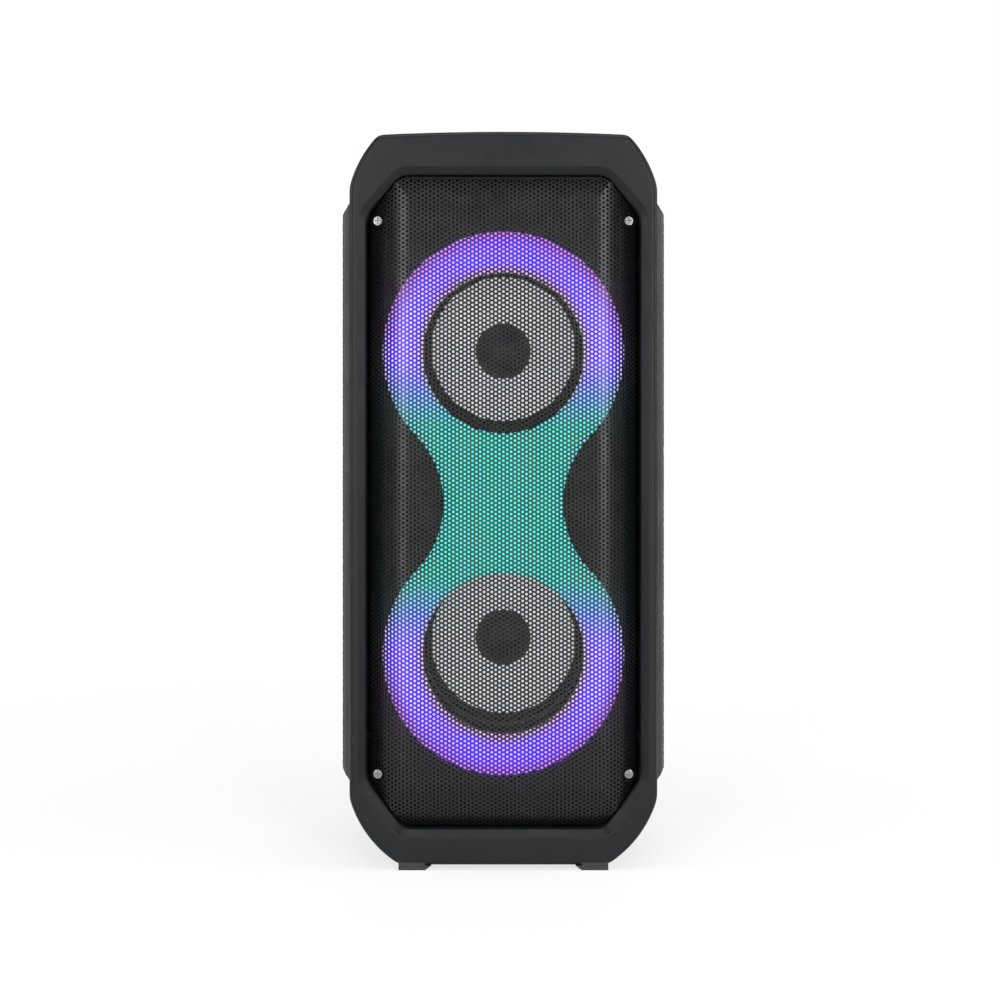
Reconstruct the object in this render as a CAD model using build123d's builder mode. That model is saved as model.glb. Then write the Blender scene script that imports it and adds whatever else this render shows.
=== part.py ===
from build123d import *
from math import asin, atan2, cos, degrees, hypot, pi, sin, sqrt
import os

os.makedirs("parts", exist_ok=True)

# All sizes are in mm. X is to the right seen from the front, Y to the back, Z up.
# The origin is on the floor, in the middle of the footprint.

# Enclosure
body_width = 173.0
body_depth = 165.0
body_top = 414.3
crown_drop = 1.7
foot_height = 2.6
side_top = 383.4
side_bottom = 39.6
top_corner_half = 70.3
bottom_corner_half = 58.5
top_corner_bulge = 2.1
bottom_corner_bulge = 4.3
corner_radius = 5.0
shoulder_radius = 12.0
bezel_depth = 22.0
bezel_wall = 3.0
bezel_front_wall = 6.0
bezel_edge_radius = 3.0
cabinet_wall = 3.5
cabinet_edge_radius = 8.0
seam_groove = 1.5
ledge_width = 7.5
ledge_thickness = 4.0
mouth_depth = 2.5
cheek_thickness = 6.5
cheek_slope = 10.0
cheek_length = 121.0
cheek_edge = 2.0

# Feet
foot_outer = 58.8
foot_inner = 43.9
foot_slant = 3.4
foot_length = 34.0
foot_lip_top = 6.3
foot_lip_depth = 3.4
foot_clearance = 0.3
rear_foot_inset = 6.0

# Window and grille
window_half = 77.4
window_bottom = 22.2
window_top = 390.2
window_corner_radius = 8.0
top_cut = (19.6, 22.4)
bottom_cut = (20.7, 27.4)
lip = 4.2
skirt = 2.0
grille_gap = 0.7
grille_sheet = 0.8
grille_recess = 2.0
plateau_half = 52.5
side_roll = 30.0
bottom_roll = 50.0
bottom_roll_start = 48.5
top_roll = 50.0
top_roll_start = 376.0
grille_screw_x = 71.2
grille_screw_top = 365.6
grille_screw_bottom = 51.5
screw_cup_radius = 3.3
screw_cup_y = -70.0

# Light
ring_top = 291.0
ring_bottom = 119.5
ring_radius = 68.6
bore_radius = 46.0
waist_half = 34.0
diffuser_thickness = 3.5
tray_depth = 7.0
tray_wall = 1.6
tray_floor = 2.0
board_thickness = 1.2
emitter_size = 3.5
emitter_height = 1.2
emitters_per_ring = 26

# Baffle
baffle_thickness = 4.0
baffle_clearance = 0.3
collar_depth = 14.0
collar_wall = 7.0
collar_flange = 6.0
roll_relief = 3.3
relief_depth = 7.0

# Drivers
driver_rise = 4.0
flange_radius = 57.0
flange_thickness = 2.5
gasket_thickness = 1.2
cone_radius = 42.3
cone_rim = 1.8
cone_depth = 18.1
cone_thickness = 0.8
glue = 0.3
roll_radius = 2.75
rubber_thickness = 0.7
cap_radius = 16.4
cap_height = 6.0
cap_thickness = 0.6
pole_radius = 11.9
coil_clearance = 0.4
former_thickness = 0.4
winding_thickness = 0.25
plate_bore = 13.35
plate_radius = 35.0
plate_thickness = 5.0
magnet_radius = 38.0
magnet_bore = 17.0
magnet_thickness = 14.0
spider_radius = 31.5
spider_depth = 22.0
spider_wave = 1.5
basket_height = 31.0
driver_screw_circle = 54.2

# Screws
screw_radius = 1.5
screw_clearance = 0.1
screw_head_radius = 3.1
screw_head_height = 2.0
post_x = 77.5
post_z = (72.0, 207.0, 343.0)
post_radius = 6.0
tunnel_radius = 4.0
bezel_screw_top = (45.0, 399.0)
bezel_screw_bottom = (32.0, 17.0)
bezel_boss_radius = 4.0

# Top controls
panel_width = 110.0
panel_length = 65.0
panel_y = -8.0
panel_thickness = 3.6
panel_top = 412.6
panel_clearance = 0.3
frame_lip = 4.0
button_radius = 6.0
button_clearance = 0.3
button_proud = 1.6
button_travel = 0.8
button_pitch = 20.0
button_y = -27.0
button_flange = 1.2
knob_radius = 14.0
knob_height = 9.0
knob_y = 6.0
knob_gap = 0.6
knob_grip_count = 24
shaft_radius = 3.0
running_clearance = 0.05
control_board_z = 399.0
encoder_height = 6.0

# Back
grip_width = 100.0
grip_height = 36.0
grip_z = 368.0
grip_depth = 38.0
grip_wall = 2.5
grip_corner = 3.0
port_radius = 21.0
port_wall = 2.5
port_length = 92.0
port_z = 207.0
port_flare = 5.0
io_width = 84.0
io_height = 56.0
io_z = 92.0
io_thickness = 3.0
io_recess = 1.5
plug_radius = 3.2
plug_length = 32.0
small_plug_radius = 1.8
small_plug_length = 15.0
jack_wall = 2.3
board_gap = 32.0
jack_nut = 2.0
mic_x = -28.0
aux_x = -6.0
usb_x = 13.0
charge_x = 31.0
usb_mouth = (12.6, 5.2)
charge_mouth = (8.6, 3.0)
amplifier_size = (116.0, 104.0)
amplifier_z = 118.0
battery_size = (92.0, 66.0, 36.0)
battery_y = 8.0
strap_thickness = 1.5
strap_width = 16.0
wire_radius = 1.0

# Where the layers lie, derived from the sizes above
front_y = -body_depth / 2
back_y = body_depth / 2
bezel_back = front_y + bezel_depth
ledge_y = bezel_back + mouth_depth
baffle_front = ledge_y - baffle_thickness
collar_end = ledge_y + collar_depth
grille_front = front_y + grille_recess
flange_front = collar_end + gasket_thickness
seat_y = flange_front + 1.3
rubber_back = seat_y - glue
rubber_front = rubber_back - rubber_thickness
cone_back = rubber_front - glue
cone_front = cone_back - cone_thickness
neck_radius = pole_radius + coil_clearance + former_thickness + glue
neck_y = cone_front + cone_depth
roll_centre = cone_radius + glue + rubber_thickness / 2 + roll_radius
basket_back = flange_front + basket_height
plate_back = basket_back + plate_thickness
magnet_back = plate_back + magnet_thickness
panel_bottom = panel_top - panel_thickness
driver_centres = (("upper", ring_top + driver_rise), ("lower", ring_bottom + driver_rise))
post_points = [(side * post_x, z) for z in post_z for side in (-1, 1)]
bezel_screw_points = [(s * x, z) for x, z in (bezel_screw_top, bezel_screw_bottom) for s in (-1, 1)]
grille_screw_points = [(s * grille_screw_x, z) for z in (grille_screw_top, grille_screw_bottom) for s in (-1, 1)]


def facing(y):
    """Plane at depth y, drawn as seen from the front. A positive extrusion comes forward."""
    return Plane.XZ.offset(-y)


def save(piece, name):
    """Name the piece and write its file."""
    piece.part.label = name
    export_step(piece.part, f"parts/{name}.step")


def heading(start, end):
    """Direction from start to end, in radians."""
    return atan2(end[1] - start[1], end[0] - start[0])


def half_turn(start, end, height):
    """Half the angle through which an arc turns when it bulges by height beside its chord."""
    return 2 * atan2(2 * height, hypot(end[0] - start[0], end[1] - start[1]))


def bulged(start, end, height):
    """Point beside the middle of a chord, to the right of the way from start to end."""
    way = heading(start, end)
    return ((start[0] + end[0]) / 2 + sin(way) * height, (start[1] + end[1]) / 2 - cos(way) * height)


def inset_corner(point, arriving, leaving, inset):
    """Corner moved inwards so that both edges that meet in it move by inset. Headings in radians."""
    share = inset / (1 + cos(leaving - arriving))
    return (point[0] - share * (sin(arriving) + sin(leaving)), point[1] + share * (cos(arriving) + cos(leaving)))


def flipped(point):
    """The same point on the other side of the middle."""
    return (-point[0], point[1])


def body_outline(inset):
    """Front outline of the enclosure, moved inwards by inset."""
    bottom = (bottom_corner_half, foot_height)
    low = (body_width / 2, side_bottom)
    high = (body_width / 2, side_top)
    top = (top_corner_half, body_top - crown_drop)
    low_way = heading(bottom, low)
    high_way = heading(high, top)
    low_turn = half_turn(bottom, low, bottom_corner_bulge)
    high_turn = half_turn(high, top, top_corner_bulge)
    crown_turn = half_turn(top, flipped(top), crown_drop)
    low_middle = bulged(bottom, low, bottom_corner_bulge - inset)
    high_middle = bulged(high, top, top_corner_bulge - inset)
    bottom = inset_corner(bottom, 0, low_way - low_turn, inset)
    low = inset_corner(low, low_way + low_turn, pi / 2, inset)
    high = inset_corner(high, pi / 2, high_way - high_turn, inset)
    top = inset_corner(top, high_way + high_turn, pi - crown_turn, inset)
    with BuildSketch() as outline:
        with BuildLine():
            ThreePointArc(bottom, low_middle, low)
            Line(low, high)
            ThreePointArc(high, high_middle, top)
            ThreePointArc(top, (0, body_top - inset), flipped(top))
            ThreePointArc(flipped(top), flipped(high_middle), flipped(high))
            Line(flipped(high), flipped(low))
            ThreePointArc(flipped(low), flipped(low_middle), flipped(bottom))
            Line(flipped(bottom), bottom)
        make_face()
        sharp = outline.vertices().filter_by(lambda v: v.Y > top[1] - 1 or v.Y < bottom[1] + 1)
        fillet(sharp, radius=max(corner_radius - inset, 0.8))
        soft = outline.vertices().filter_by(lambda v: abs(v.Y - low[1]) < 0.01 or abs(v.Y - high[1]) < 0.01)
        fillet(soft, radius=shoulder_radius - inset / 2)
    return outline.sketch


def window_outline(grow):
    """Eight-sided window of the bezel, grown outwards by grow or shrunk when negative."""
    right = [
        (window_half - bottom_cut[0], window_bottom),
        (window_half, window_bottom + bottom_cut[1]),
        (window_half, window_top - top_cut[1]),
        (window_half - top_cut[0], window_top),
    ]
    left = [(-x, z) for x, z in reversed(right)]
    with BuildSketch() as outline:
        with BuildLine():
            Polyline(*right, *left, close=True)
        make_face()
        if grow != 0:
            offset(amount=grow, kind=Kind.INTERSECTION)
        fillet(outline.vertices(), radius=window_corner_radius + grow)
    return outline.sketch


def light_outline(inset):
    """Figure of eight of the light with its two bores, each edge moved into the material by inset."""
    half = (ring_top - ring_bottom) / 2
    middle = (ring_top + ring_bottom) / 2
    hollow = (waist_half**2 + half**2 - ring_radius**2) / (2 * (ring_radius - waist_half))
    touch_x = (waist_half + hollow) * ring_radius / (ring_radius + hollow)
    touch_z = half * hollow / (ring_radius + hollow)
    with BuildSketch() as outline:
        with Locations((0, middle)):
            Rectangle(2 * touch_x, 2 * touch_z)
        with Locations((waist_half + hollow, middle), (-waist_half - hollow, middle)):
            Circle(hollow + inset, mode=Mode.SUBTRACT)
        with Locations((0, ring_top), (0, ring_bottom)):
            Circle(ring_radius - inset)
        with Locations((0, ring_top), (0, ring_bottom)):
            Circle(bore_radius + inset, mode=Mode.SUBTRACT)
    return outline.sketch


def turned(points, z):
    """Solid of revolution about the front to back axis at height z, from points (radius, y)."""
    with BuildPart() as piece:
        with BuildSketch(Plane.XY.offset(z)):
            with BuildLine():
                Polyline(*points, close=True)
            make_face()
        revolve(axis=Axis((0, 0, z), (0, 1, 0)))
    return piece


def screws(points, seat, side, length):
    """Pan head screws at (x, z) points. The heads stand on the plane y = seat, on side 1 (front) or -1."""
    with BuildPart() as piece:
        with BuildSketch(facing(seat)):
            with Locations(*points):
                Circle(screw_head_radius)
        extrude(amount=side * screw_head_height)
        fillet(piece.edges().group_by(Axis.Y)[0 if side > 0 else -1], radius=0.9)
        with BuildSketch(facing(seat)):
            with Locations(*points):
                Circle(screw_radius)
        extrude(amount=-side * length)
        with BuildSketch(facing(seat - side * screw_head_height)):
            with Locations(*points):
                Rectangle(3.2, 0.7)
                Rectangle(0.7, 3.2)
        extrude(amount=-side * 1.2, mode=Mode.SUBTRACT)
    return piece


def make_bezel():
    """Front frame: rounded outer edge, sloped lip round the window, hollow behind."""
    with BuildPart() as bezel:
        with BuildSketch(facing(bezel_back)):
            add(body_outline(0))
        extrude(amount=bezel_depth)
        fillet(bezel.faces().sort_by(Axis.Y)[0].outer_wire().edges(), radius=bezel_edge_radius)
        with BuildSketch(facing(bezel_back)):
            add(window_outline(0))
        extrude(amount=bezel_depth, mode=Mode.SUBTRACT)
        chamfer(bezel.faces().sort_by(Axis.Y)[0].inner_wires()[0].edges(), length=lip)
        with BuildSketch(facing(bezel_back)):
            add(body_outline(bezel_wall))
            add(window_outline(skirt), mode=Mode.SUBTRACT)
        extrude(amount=bezel_depth - bezel_front_wall, mode=Mode.SUBTRACT)
        with BuildSketch(facing(bezel_back)):
            add(window_outline(skirt))
        extrude(amount=bezel_back - baffle_front, mode=Mode.SUBTRACT)
        with BuildSketch(facing(baffle_front)):
            with Locations(*bezel_screw_points):
                Circle(bezel_boss_radius)
        extrude(amount=baffle_front - front_y - bezel_front_wall)
        with BuildSketch(facing(baffle_front)):
            with Locations(*bezel_screw_points):
                Circle(screw_radius + screw_clearance)
        extrude(amount=10, mode=Mode.SUBTRACT)
        with BuildSketch(facing(front_y + foot_lip_depth + foot_clearance)):
            for side in (-1, 1):
                with Locations((side * (foot_outer + foot_inner) / 2, foot_lip_top / 2)):
                    Rectangle(foot_outer - foot_inner + 2 * foot_clearance, foot_lip_top + 2 * foot_clearance)
        extrude(amount=foot_lip_depth + 1, mode=Mode.SUBTRACT)
    save(bezel, "front_bezel")


def make_feet():
    """Four feet. The front pair has a lip that shows at the foot of the bezel."""
    slanted = foot_inner - foot_slant
    profile = [(slanted, foot_height), (foot_inner, 0), (foot_outer, 0), (foot_outer, foot_height)]
    with BuildPart() as feet:
        for start in (front_y + foot_clearance, back_y - rear_foot_inset - foot_length):
            for side in (-1, 1):
                with BuildSketch(facing(start)):
                    with BuildLine():
                        Polyline(*[(side * x, z) for x, z in profile], close=True)
                    make_face()
                extrude(amount=-foot_length)
        with BuildSketch(facing(front_y + foot_clearance)):
            for side in (-1, 1):
                with Locations((side * (foot_outer + foot_inner) / 2, (foot_height + foot_lip_top) / 2)):
                    Rectangle(foot_outer - foot_inner, foot_lip_top - foot_height)
        extrude(amount=-(foot_lip_depth - foot_clearance))
    save(feet, "feet")


def make_cabinet():
    """Rear tub with a ledge for the baffle, six screw posts and the openings at the back and top."""
    with BuildPart() as cabinet:
        with BuildSketch(facing(bezel_back)):
            add(body_outline(0))
        extrude(amount=-(body_depth - bezel_depth))
        fillet(cabinet.faces().sort_by(Axis.Y)[-1].outer_wire().edges(), radius=cabinet_edge_radius)
        with BuildSketch(facing(bezel_back)):
            add(body_outline(0))
            add(body_outline(seam_groove), mode=Mode.SUBTRACT)
        extrude(amount=-seam_groove, mode=Mode.SUBTRACT)
        with BuildSketch(facing(bezel_back)):
            add(body_outline(cabinet_wall))
        extrude(amount=-mouth_depth, mode=Mode.SUBTRACT)
        with BuildSketch(facing(ledge_y)):
            add(body_outline(cabinet_wall + ledge_width))
        extrude(amount=-ledge_thickness, mode=Mode.SUBTRACT)
        with BuildSketch(facing(ledge_y + ledge_thickness)):
            add(body_outline(cabinet_wall))
        extrude(amount=-(back_y - cabinet_wall - ledge_y - ledge_thickness), mode=Mode.SUBTRACT)
    save(with_rear_openings(with_top_frame(with_posts(cabinet))), "cabinet")


def with_posts(tub):
    """Six posts from the back wall to the ledge, each with a tunnel for its screw."""
    with BuildPart() as cabinet:
        add(tub.part)
        with BuildSketch(facing(back_y - cabinet_wall)):
            with Locations(*post_points):
                Circle(post_radius)
        extrude(amount=back_y - cabinet_wall - ledge_y)
        with BuildSketch(facing(back_y)):
            with Locations(*post_points):
                Circle(tunnel_radius)
        extrude(amount=back_y - ledge_y - 2 * ledge_thickness, mode=Mode.SUBTRACT)
        with BuildSketch(facing(ledge_y + 3 * ledge_thickness)):
            with Locations(*post_points):
                Circle(screw_radius + screw_clearance)
        extrude(amount=4 * ledge_thickness, mode=Mode.SUBTRACT)
    return cabinet


def with_top_frame(tub):
    """Frame under the top wall that carries the control panel, and the opening for it."""
    with BuildPart() as cabinet:
        add(tub.part)
        with BuildSketch(Plane.XY.offset(panel_bottom - cabinet_wall)):
            with Locations((0, panel_y)):
                Rectangle(panel_width + 2 * cabinet_wall, panel_length + 2 * cabinet_wall)
        extrude(amount=2 * cabinet_wall)
        with BuildSketch(Plane.XY.offset(panel_bottom)):
            with Locations((0, panel_y)):
                Rectangle(panel_width, panel_length)
        extrude(amount=body_top - panel_bottom + 1, mode=Mode.SUBTRACT)
        with BuildSketch(Plane.XY.offset(panel_bottom)):
            with Locations((0, panel_y)):
                Rectangle(panel_width - 2 * frame_lip, panel_length - 2 * frame_lip)
        extrude(amount=-2 * cabinet_wall, mode=Mode.SUBTRACT)
    return cabinet


def with_rear_openings(tub):
    """Openings in the back wall for the pocket grip, the bass port and the socket panel."""
    with BuildPart() as cabinet:
        add(tub.part)
        io_seat = back_y - io_recess - io_thickness
        with BuildSketch(facing(io_seat + io_thickness)):
            with Locations((0, io_z)):
                Rectangle(io_width + 2 * cabinet_wall, io_height + 2 * cabinet_wall)
        extrude(amount=2 * cabinet_wall)
        with BuildSketch(facing(back_y)):
            with Locations((0, io_z)):
                Rectangle(io_width, io_height)
        extrude(amount=back_y - io_seat, mode=Mode.SUBTRACT)
        with BuildSketch(facing(io_seat)):
            with Locations((0, io_z)):
                Rectangle(io_width - 2 * frame_lip, io_height - 2 * frame_lip)
        extrude(amount=3 * cabinet_wall, mode=Mode.SUBTRACT)
        with BuildSketch(facing(back_y)):
            with Locations((0, grip_z)):
                Rectangle(grip_width + 2 * panel_clearance, grip_height + 2 * panel_clearance)
            with Locations((0, port_z)):
                Circle(port_radius + port_wall + panel_clearance)
        extrude(amount=2 * cabinet_wall, mode=Mode.SUBTRACT)
        with BuildSketch(facing(back_y)):
            with Locations((0, grip_z)):
                grip_rim = 2 * (frame_lip + panel_clearance)
                Rectangle(grip_width + grip_rim, grip_height + grip_rim)
            with Locations((0, port_z)):
                Circle(port_radius + port_wall + frame_lip + panel_clearance)
        extrude(amount=cabinet_wall / 2, mode=Mode.SUBTRACT)
    return cabinet


def make_cheek(side, name):
    """Textured side panel with sloped ends, on one side of the cabinet."""
    inner = body_width / 2
    outer = inner + cheek_thickness
    low = side_bottom + 2
    high = side_top - 2
    points = [(inner, low), (outer, low + cheek_slope), (outer, high - cheek_slope), (inner, high)]
    with BuildPart() as cheek:
        with BuildSketch(facing(bezel_back + seam_groove)):
            with BuildLine():
                Polyline(*[(side * x, z) for x, z in points], close=True)
            make_face()
        extrude(amount=-cheek_length)
        rims = cheek.faces().sort_by(Axis.X)[-1 if side > 0 else 0].edges().filter_by(Axis.Z)
        chamfer(rims, length=cheek_edge)
    save(cheek, name)


def make_baffle():
    """Inner plate with a collar for each driver and a boss for each grille screw."""
    centres = [(0, z) for name, z in driver_centres]
    outer = bore_radius + collar_wall
    with BuildPart() as baffle:
        with BuildSketch(facing(ledge_y)):
            add(body_outline(cabinet_wall + baffle_clearance))
        extrude(amount=baffle_thickness)
        with BuildSketch(facing(collar_end)):
            with Locations(*centres):
                Circle(outer)
        extrude(amount=collar_depth)
        with BuildSketch(facing(collar_end)):
            with Locations(*centres):
                Circle(flange_radius + 1)
        extrude(amount=collar_flange)
        with BuildSketch(facing(screw_cup_y + grille_sheet)):
            with Locations(*grille_screw_points):
                Circle(screw_cup_radius)
        extrude(amount=-(baffle_front - screw_cup_y - grille_sheet))
        with BuildSketch(facing(collar_end)):
            with Locations(*centres):
                Circle(bore_radius)
        extrude(amount=collar_end - baffle_front, mode=Mode.SUBTRACT)
        with BuildSketch(facing(collar_end)):
            with Locations(*centres):
                Circle(bore_radius + roll_relief)
        extrude(amount=relief_depth, mode=Mode.SUBTRACT)
        with BuildSketch(facing(ledge_y)):
            with Locations(*post_points, *bezel_screw_points, *grille_screw_points):
                Circle(screw_radius + screw_clearance)
        extrude(amount=ledge_y - screw_cup_y, mode=Mode.SUBTRACT)
        with BuildSketch(facing(collar_end)):
            for centre in centres:
                with Locations(centre):
                    with PolarLocations(driver_screw_circle, 4, start_angle=45):
                        Circle(screw_radius + screw_clearance)
        extrude(amount=collar_flange + 4, mode=Mode.SUBTRACT)
    save(baffle, "baffle")


def roll_point(start, front, radius, reach, share):
    """Point on a roll that begins at start and turns back from the front plane, at a share of its angle."""
    angle = asin(reach / radius) * share
    return (start + radius * sin(angle), front + radius * (1 - cos(angle)))


def cross_section(inset):
    """Grille section across the width, as (x, y): flat in the middle, rolled back at both sides."""
    edge = window_half - grille_gap + 1
    front = grille_front + inset
    radius = side_roll - inset
    reach = edge - plateau_half
    middle = roll_point(plateau_half, front, radius, reach, 0.5)
    end = roll_point(plateau_half, front, radius, reach, 1)
    with BuildSketch() as section:
        with BuildLine():
            start = (plateau_half, front)
            foot = (end[0], baffle_front + 1)
            ThreePointArc(start, middle, end)
            Polyline(end, foot, flipped(foot), flipped(end))
            ThreePointArc(flipped(end), flipped(middle), flipped(start))
            Line(flipped(start), start)
        make_face()
    return section.sketch


def long_section(inset):
    """Grille section along the height, as (y, z): rolled back at the bottom and a little at the top."""
    front = grille_front + inset
    low = window_bottom
    high = window_top
    reach = bottom_roll_start - low
    middle = roll_point(-bottom_roll_start, front, bottom_roll - inset, reach, 0.5)
    end = roll_point(-bottom_roll_start, front, bottom_roll - inset, reach, 1)
    crest = roll_point(top_roll_start, front, top_roll - inset, high - top_roll_start, 0.5)
    tip = roll_point(top_roll_start, front, top_roll - inset, high - top_roll_start, 1)
    with BuildSketch() as section:
        with BuildLine():
            ThreePointArc((front, bottom_roll_start), (middle[1], -middle[0]), (end[1], low))
            Line((front, bottom_roll_start), (front, top_roll_start))
            ThreePointArc((front, top_roll_start), (crest[1], crest[0]), (tip[1], high))
            Polyline((tip[1], high), (baffle_front + 1, high), (baffle_front + 1, low), (end[1], low))
        make_face()
    return section.sketch


def grille_form(inset):
    """Solid under the grille's skin, or inside it when inset is the sheet thickness."""
    with BuildPart() as form:
        with BuildSketch(facing(baffle_front)):
            add(window_outline(-grille_gap - inset))
        extrude(amount=baffle_front - grille_front)
        with BuildSketch(Plane.XY):
            add(cross_section(inset))
        extrude(amount=body_top, mode=Mode.INTERSECT)
        with BuildSketch(Plane.YZ):
            add(long_section(inset))
        extrude(amount=body_width, both=True, mode=Mode.INTERSECT)
    return form.part


def make_grille():
    """Formed sheet that stands on the baffle, with a cup for each screw. Its small holes are not cut."""
    outer = grille_form(0)
    inner = grille_form(grille_sheet)
    with BuildPart() as hollow:
        add(inner)
        with BuildSketch(facing(screw_cup_y + grille_sheet)):
            with Locations(*grille_screw_points):
                Circle(screw_cup_radius + grille_sheet)
        extrude(amount=20, mode=Mode.SUBTRACT)
    with BuildPart() as grille:
        add(outer)
        add(hollow.part, mode=Mode.SUBTRACT)
        with BuildSketch(facing(screw_cup_y)):
            with Locations(*grille_screw_points):
                Circle(screw_cup_radius)
        extrude(amount=20, mode=Mode.SUBTRACT)
        with BuildSketch(facing(screw_cup_y + 2 * grille_sheet)):
            with Locations(*grille_screw_points):
                Circle(screw_radius + screw_clearance)
        extrude(amount=4 * grille_sheet, mode=Mode.SUBTRACT)
    save(grille, "grille")


def make_light():
    """Tray, circuit board with its emitters, and the diffuser that closes the tray."""
    tray_front = baffle_front - tray_depth
    board_back = baffle_front - tray_floor
    with BuildPart() as tray:
        with BuildSketch(facing(baffle_front)):
            add(light_outline(0))
        extrude(amount=tray_depth)
        with BuildSketch(facing(board_back)):
            add(light_outline(tray_wall))
        extrude(amount=tray_depth - tray_floor, mode=Mode.SUBTRACT)
    save(tray, "light_tray")
    with BuildPart() as board:
        with BuildSketch(facing(board_back)):
            add(light_outline(tray_wall + panel_clearance))
        extrude(amount=board_thickness)
    save(board, "led_board")
    with BuildPart() as emitters:
        with BuildSketch(facing(board_back - board_thickness)):
            for z in (ring_top, ring_bottom):
                with Locations((0, z)):
                    with PolarLocations((ring_radius + bore_radius) / 2, emitters_per_ring):
                        Rectangle(emitter_size, emitter_size)
            with Locations((0, (ring_top + ring_bottom) / 2)):
                with GridLocations(16, 16, 3, 3):
                    Rectangle(emitter_size, emitter_size)
        extrude(amount=emitter_height)
    save(emitters, "led_emitters")
    with BuildPart() as diffuser:
        with BuildSketch(facing(tray_front)):
            add(light_outline(0))
        extrude(amount=diffuser_thickness)
        fillet(diffuser.faces().sort_by(Axis.Y)[0].edges(), radius=1.4)
    save(diffuser, "light_diffuser")


def make_suspension(name, z):
    """Surround with one roll, and the corrugated spider behind it."""
    middle = (rubber_front + rubber_back) / 2
    inner_lip = cone_radius - cone_rim
    outer_lip = roll_centre + roll_radius + 2.6
    with BuildPart() as surround:
        with BuildSketch(Plane.XY.offset(z)):
            with Locations((roll_centre, middle)):
                Circle(roll_radius + rubber_thickness / 2)
                Circle(roll_radius - rubber_thickness / 2, mode=Mode.SUBTRACT)
            with Locations((roll_centre, middle + 10)):
                Rectangle(20, 20, mode=Mode.SUBTRACT)
            with Locations(((inner_lip + roll_centre - roll_radius + 0.35) / 2, middle)):
                Rectangle(roll_centre - roll_radius + 0.35 - inner_lip, rubber_thickness)
            with Locations(((outer_lip + roll_centre + roll_radius - 0.35) / 2, middle)):
                Rectangle(outer_lip - roll_centre - roll_radius + 0.35, rubber_thickness)
        revolve(axis=Axis((0, 0, z), (0, 1, 0)))
    save(surround, f"{name}_surround")
    depth = flange_front + spider_depth
    radii = [neck_radius + 0.3, neck_radius + 3, 18.0, 20.5, 23.0, 25.5, 27.5, spider_radius]
    waves = [0, 0, -1, 1, -1, 1, 0, 0]
    front = [(r, depth + spider_wave * w) for r, w in zip(radii, waves)]
    back = [(r, y + rubber_thickness) for r, y in reversed(front)]
    save(turned(front + back, z), f"{name}_spider")


def cone_surface(radius):
    """Depth of the cone's front face at a radius."""
    return cone_front + (cone_radius - cone_rim - radius) / (cone_radius - cone_rim - neck_radius) * cone_depth


def make_moving_parts(name, z):
    """Cone with a flat rim, domed dust cap and voice coil on its former."""
    rim = cone_radius - cone_rim
    front = [(cone_radius, cone_front), (rim, cone_front), (neck_radius, neck_y)]
    back = [(r, y + cone_thickness) for r, y in reversed(front)]
    save(turned(front + back, z), f"{name}_cone")
    rim_y = cone_surface(cap_radius) - glue
    sphere = (cap_radius**2 + cap_height**2) / (2 * cap_height)
    centre = rim_y - cap_height + sphere
    with BuildPart() as cap:
        with BuildSketch(Plane.XY.offset(z)):
            with BuildLine():
                arc_angle = asin(cap_radius / sphere)
                inner = sphere - cap_thickness
                inner_angle = asin(sqrt(inner**2 - (centre - rim_y) ** 2) / inner)
                outer_points = [(sphere * sin(arc_angle * s), centre - sphere * cos(arc_angle * s)) for s in (0, 0.5, 1)]
                inner_points = [(inner * sin(inner_angle * s), centre - inner * cos(inner_angle * s)) for s in (0, 0.5, 1)]
                ThreePointArc(*outer_points)
                ThreePointArc(*inner_points)
                Line(outer_points[0], inner_points[0])
                Line(outer_points[2], inner_points[2])
            make_face()
        revolve(axis=Axis((0, 0, z), (0, 1, 0)))
    save(cap, f"{name}_dust_cap")
    inside = pole_radius + coil_clearance
    outside = inside + former_thickness
    wound = outside + winding_thickness
    former_front = neck_y - 1.5
    winding_front = basket_back - 3
    winding_back = plate_back + 3
    points = [
        (inside, former_front),
        (outside, former_front),
        (outside, winding_front),
        (wound, winding_front),
        (wound, winding_back),
        (inside, winding_back),
    ]
    save(turned(points, z), f"{name}_voice_coil")


def make_motor(name, z):
    """Top plate, ring magnet, and back plate with its pole."""
    plate = [(plate_bore, basket_back), (plate_radius, basket_back), (plate_radius, plate_back), (plate_bore, plate_back)]
    save(turned(plate, z), f"{name}_top_plate")
    magnet = [(magnet_bore, plate_back), (magnet_radius, plate_back), (magnet_radius, magnet_back), (magnet_bore, magnet_back)]
    save(turned(magnet, z), f"{name}_magnet")
    vent = 3.0
    pole = [
        (vent, basket_back),
        (pole_radius, basket_back),
        (pole_radius, magnet_back),
        (magnet_radius - 1, magnet_back),
        (magnet_radius - 1, magnet_back + plate_thickness - 1.5),
        (magnet_radius - 2.5, magnet_back + plate_thickness),
        (vent, magnet_back + plate_thickness),
    ]
    save(turned(pole, z), f"{name}_pole_piece")


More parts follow.
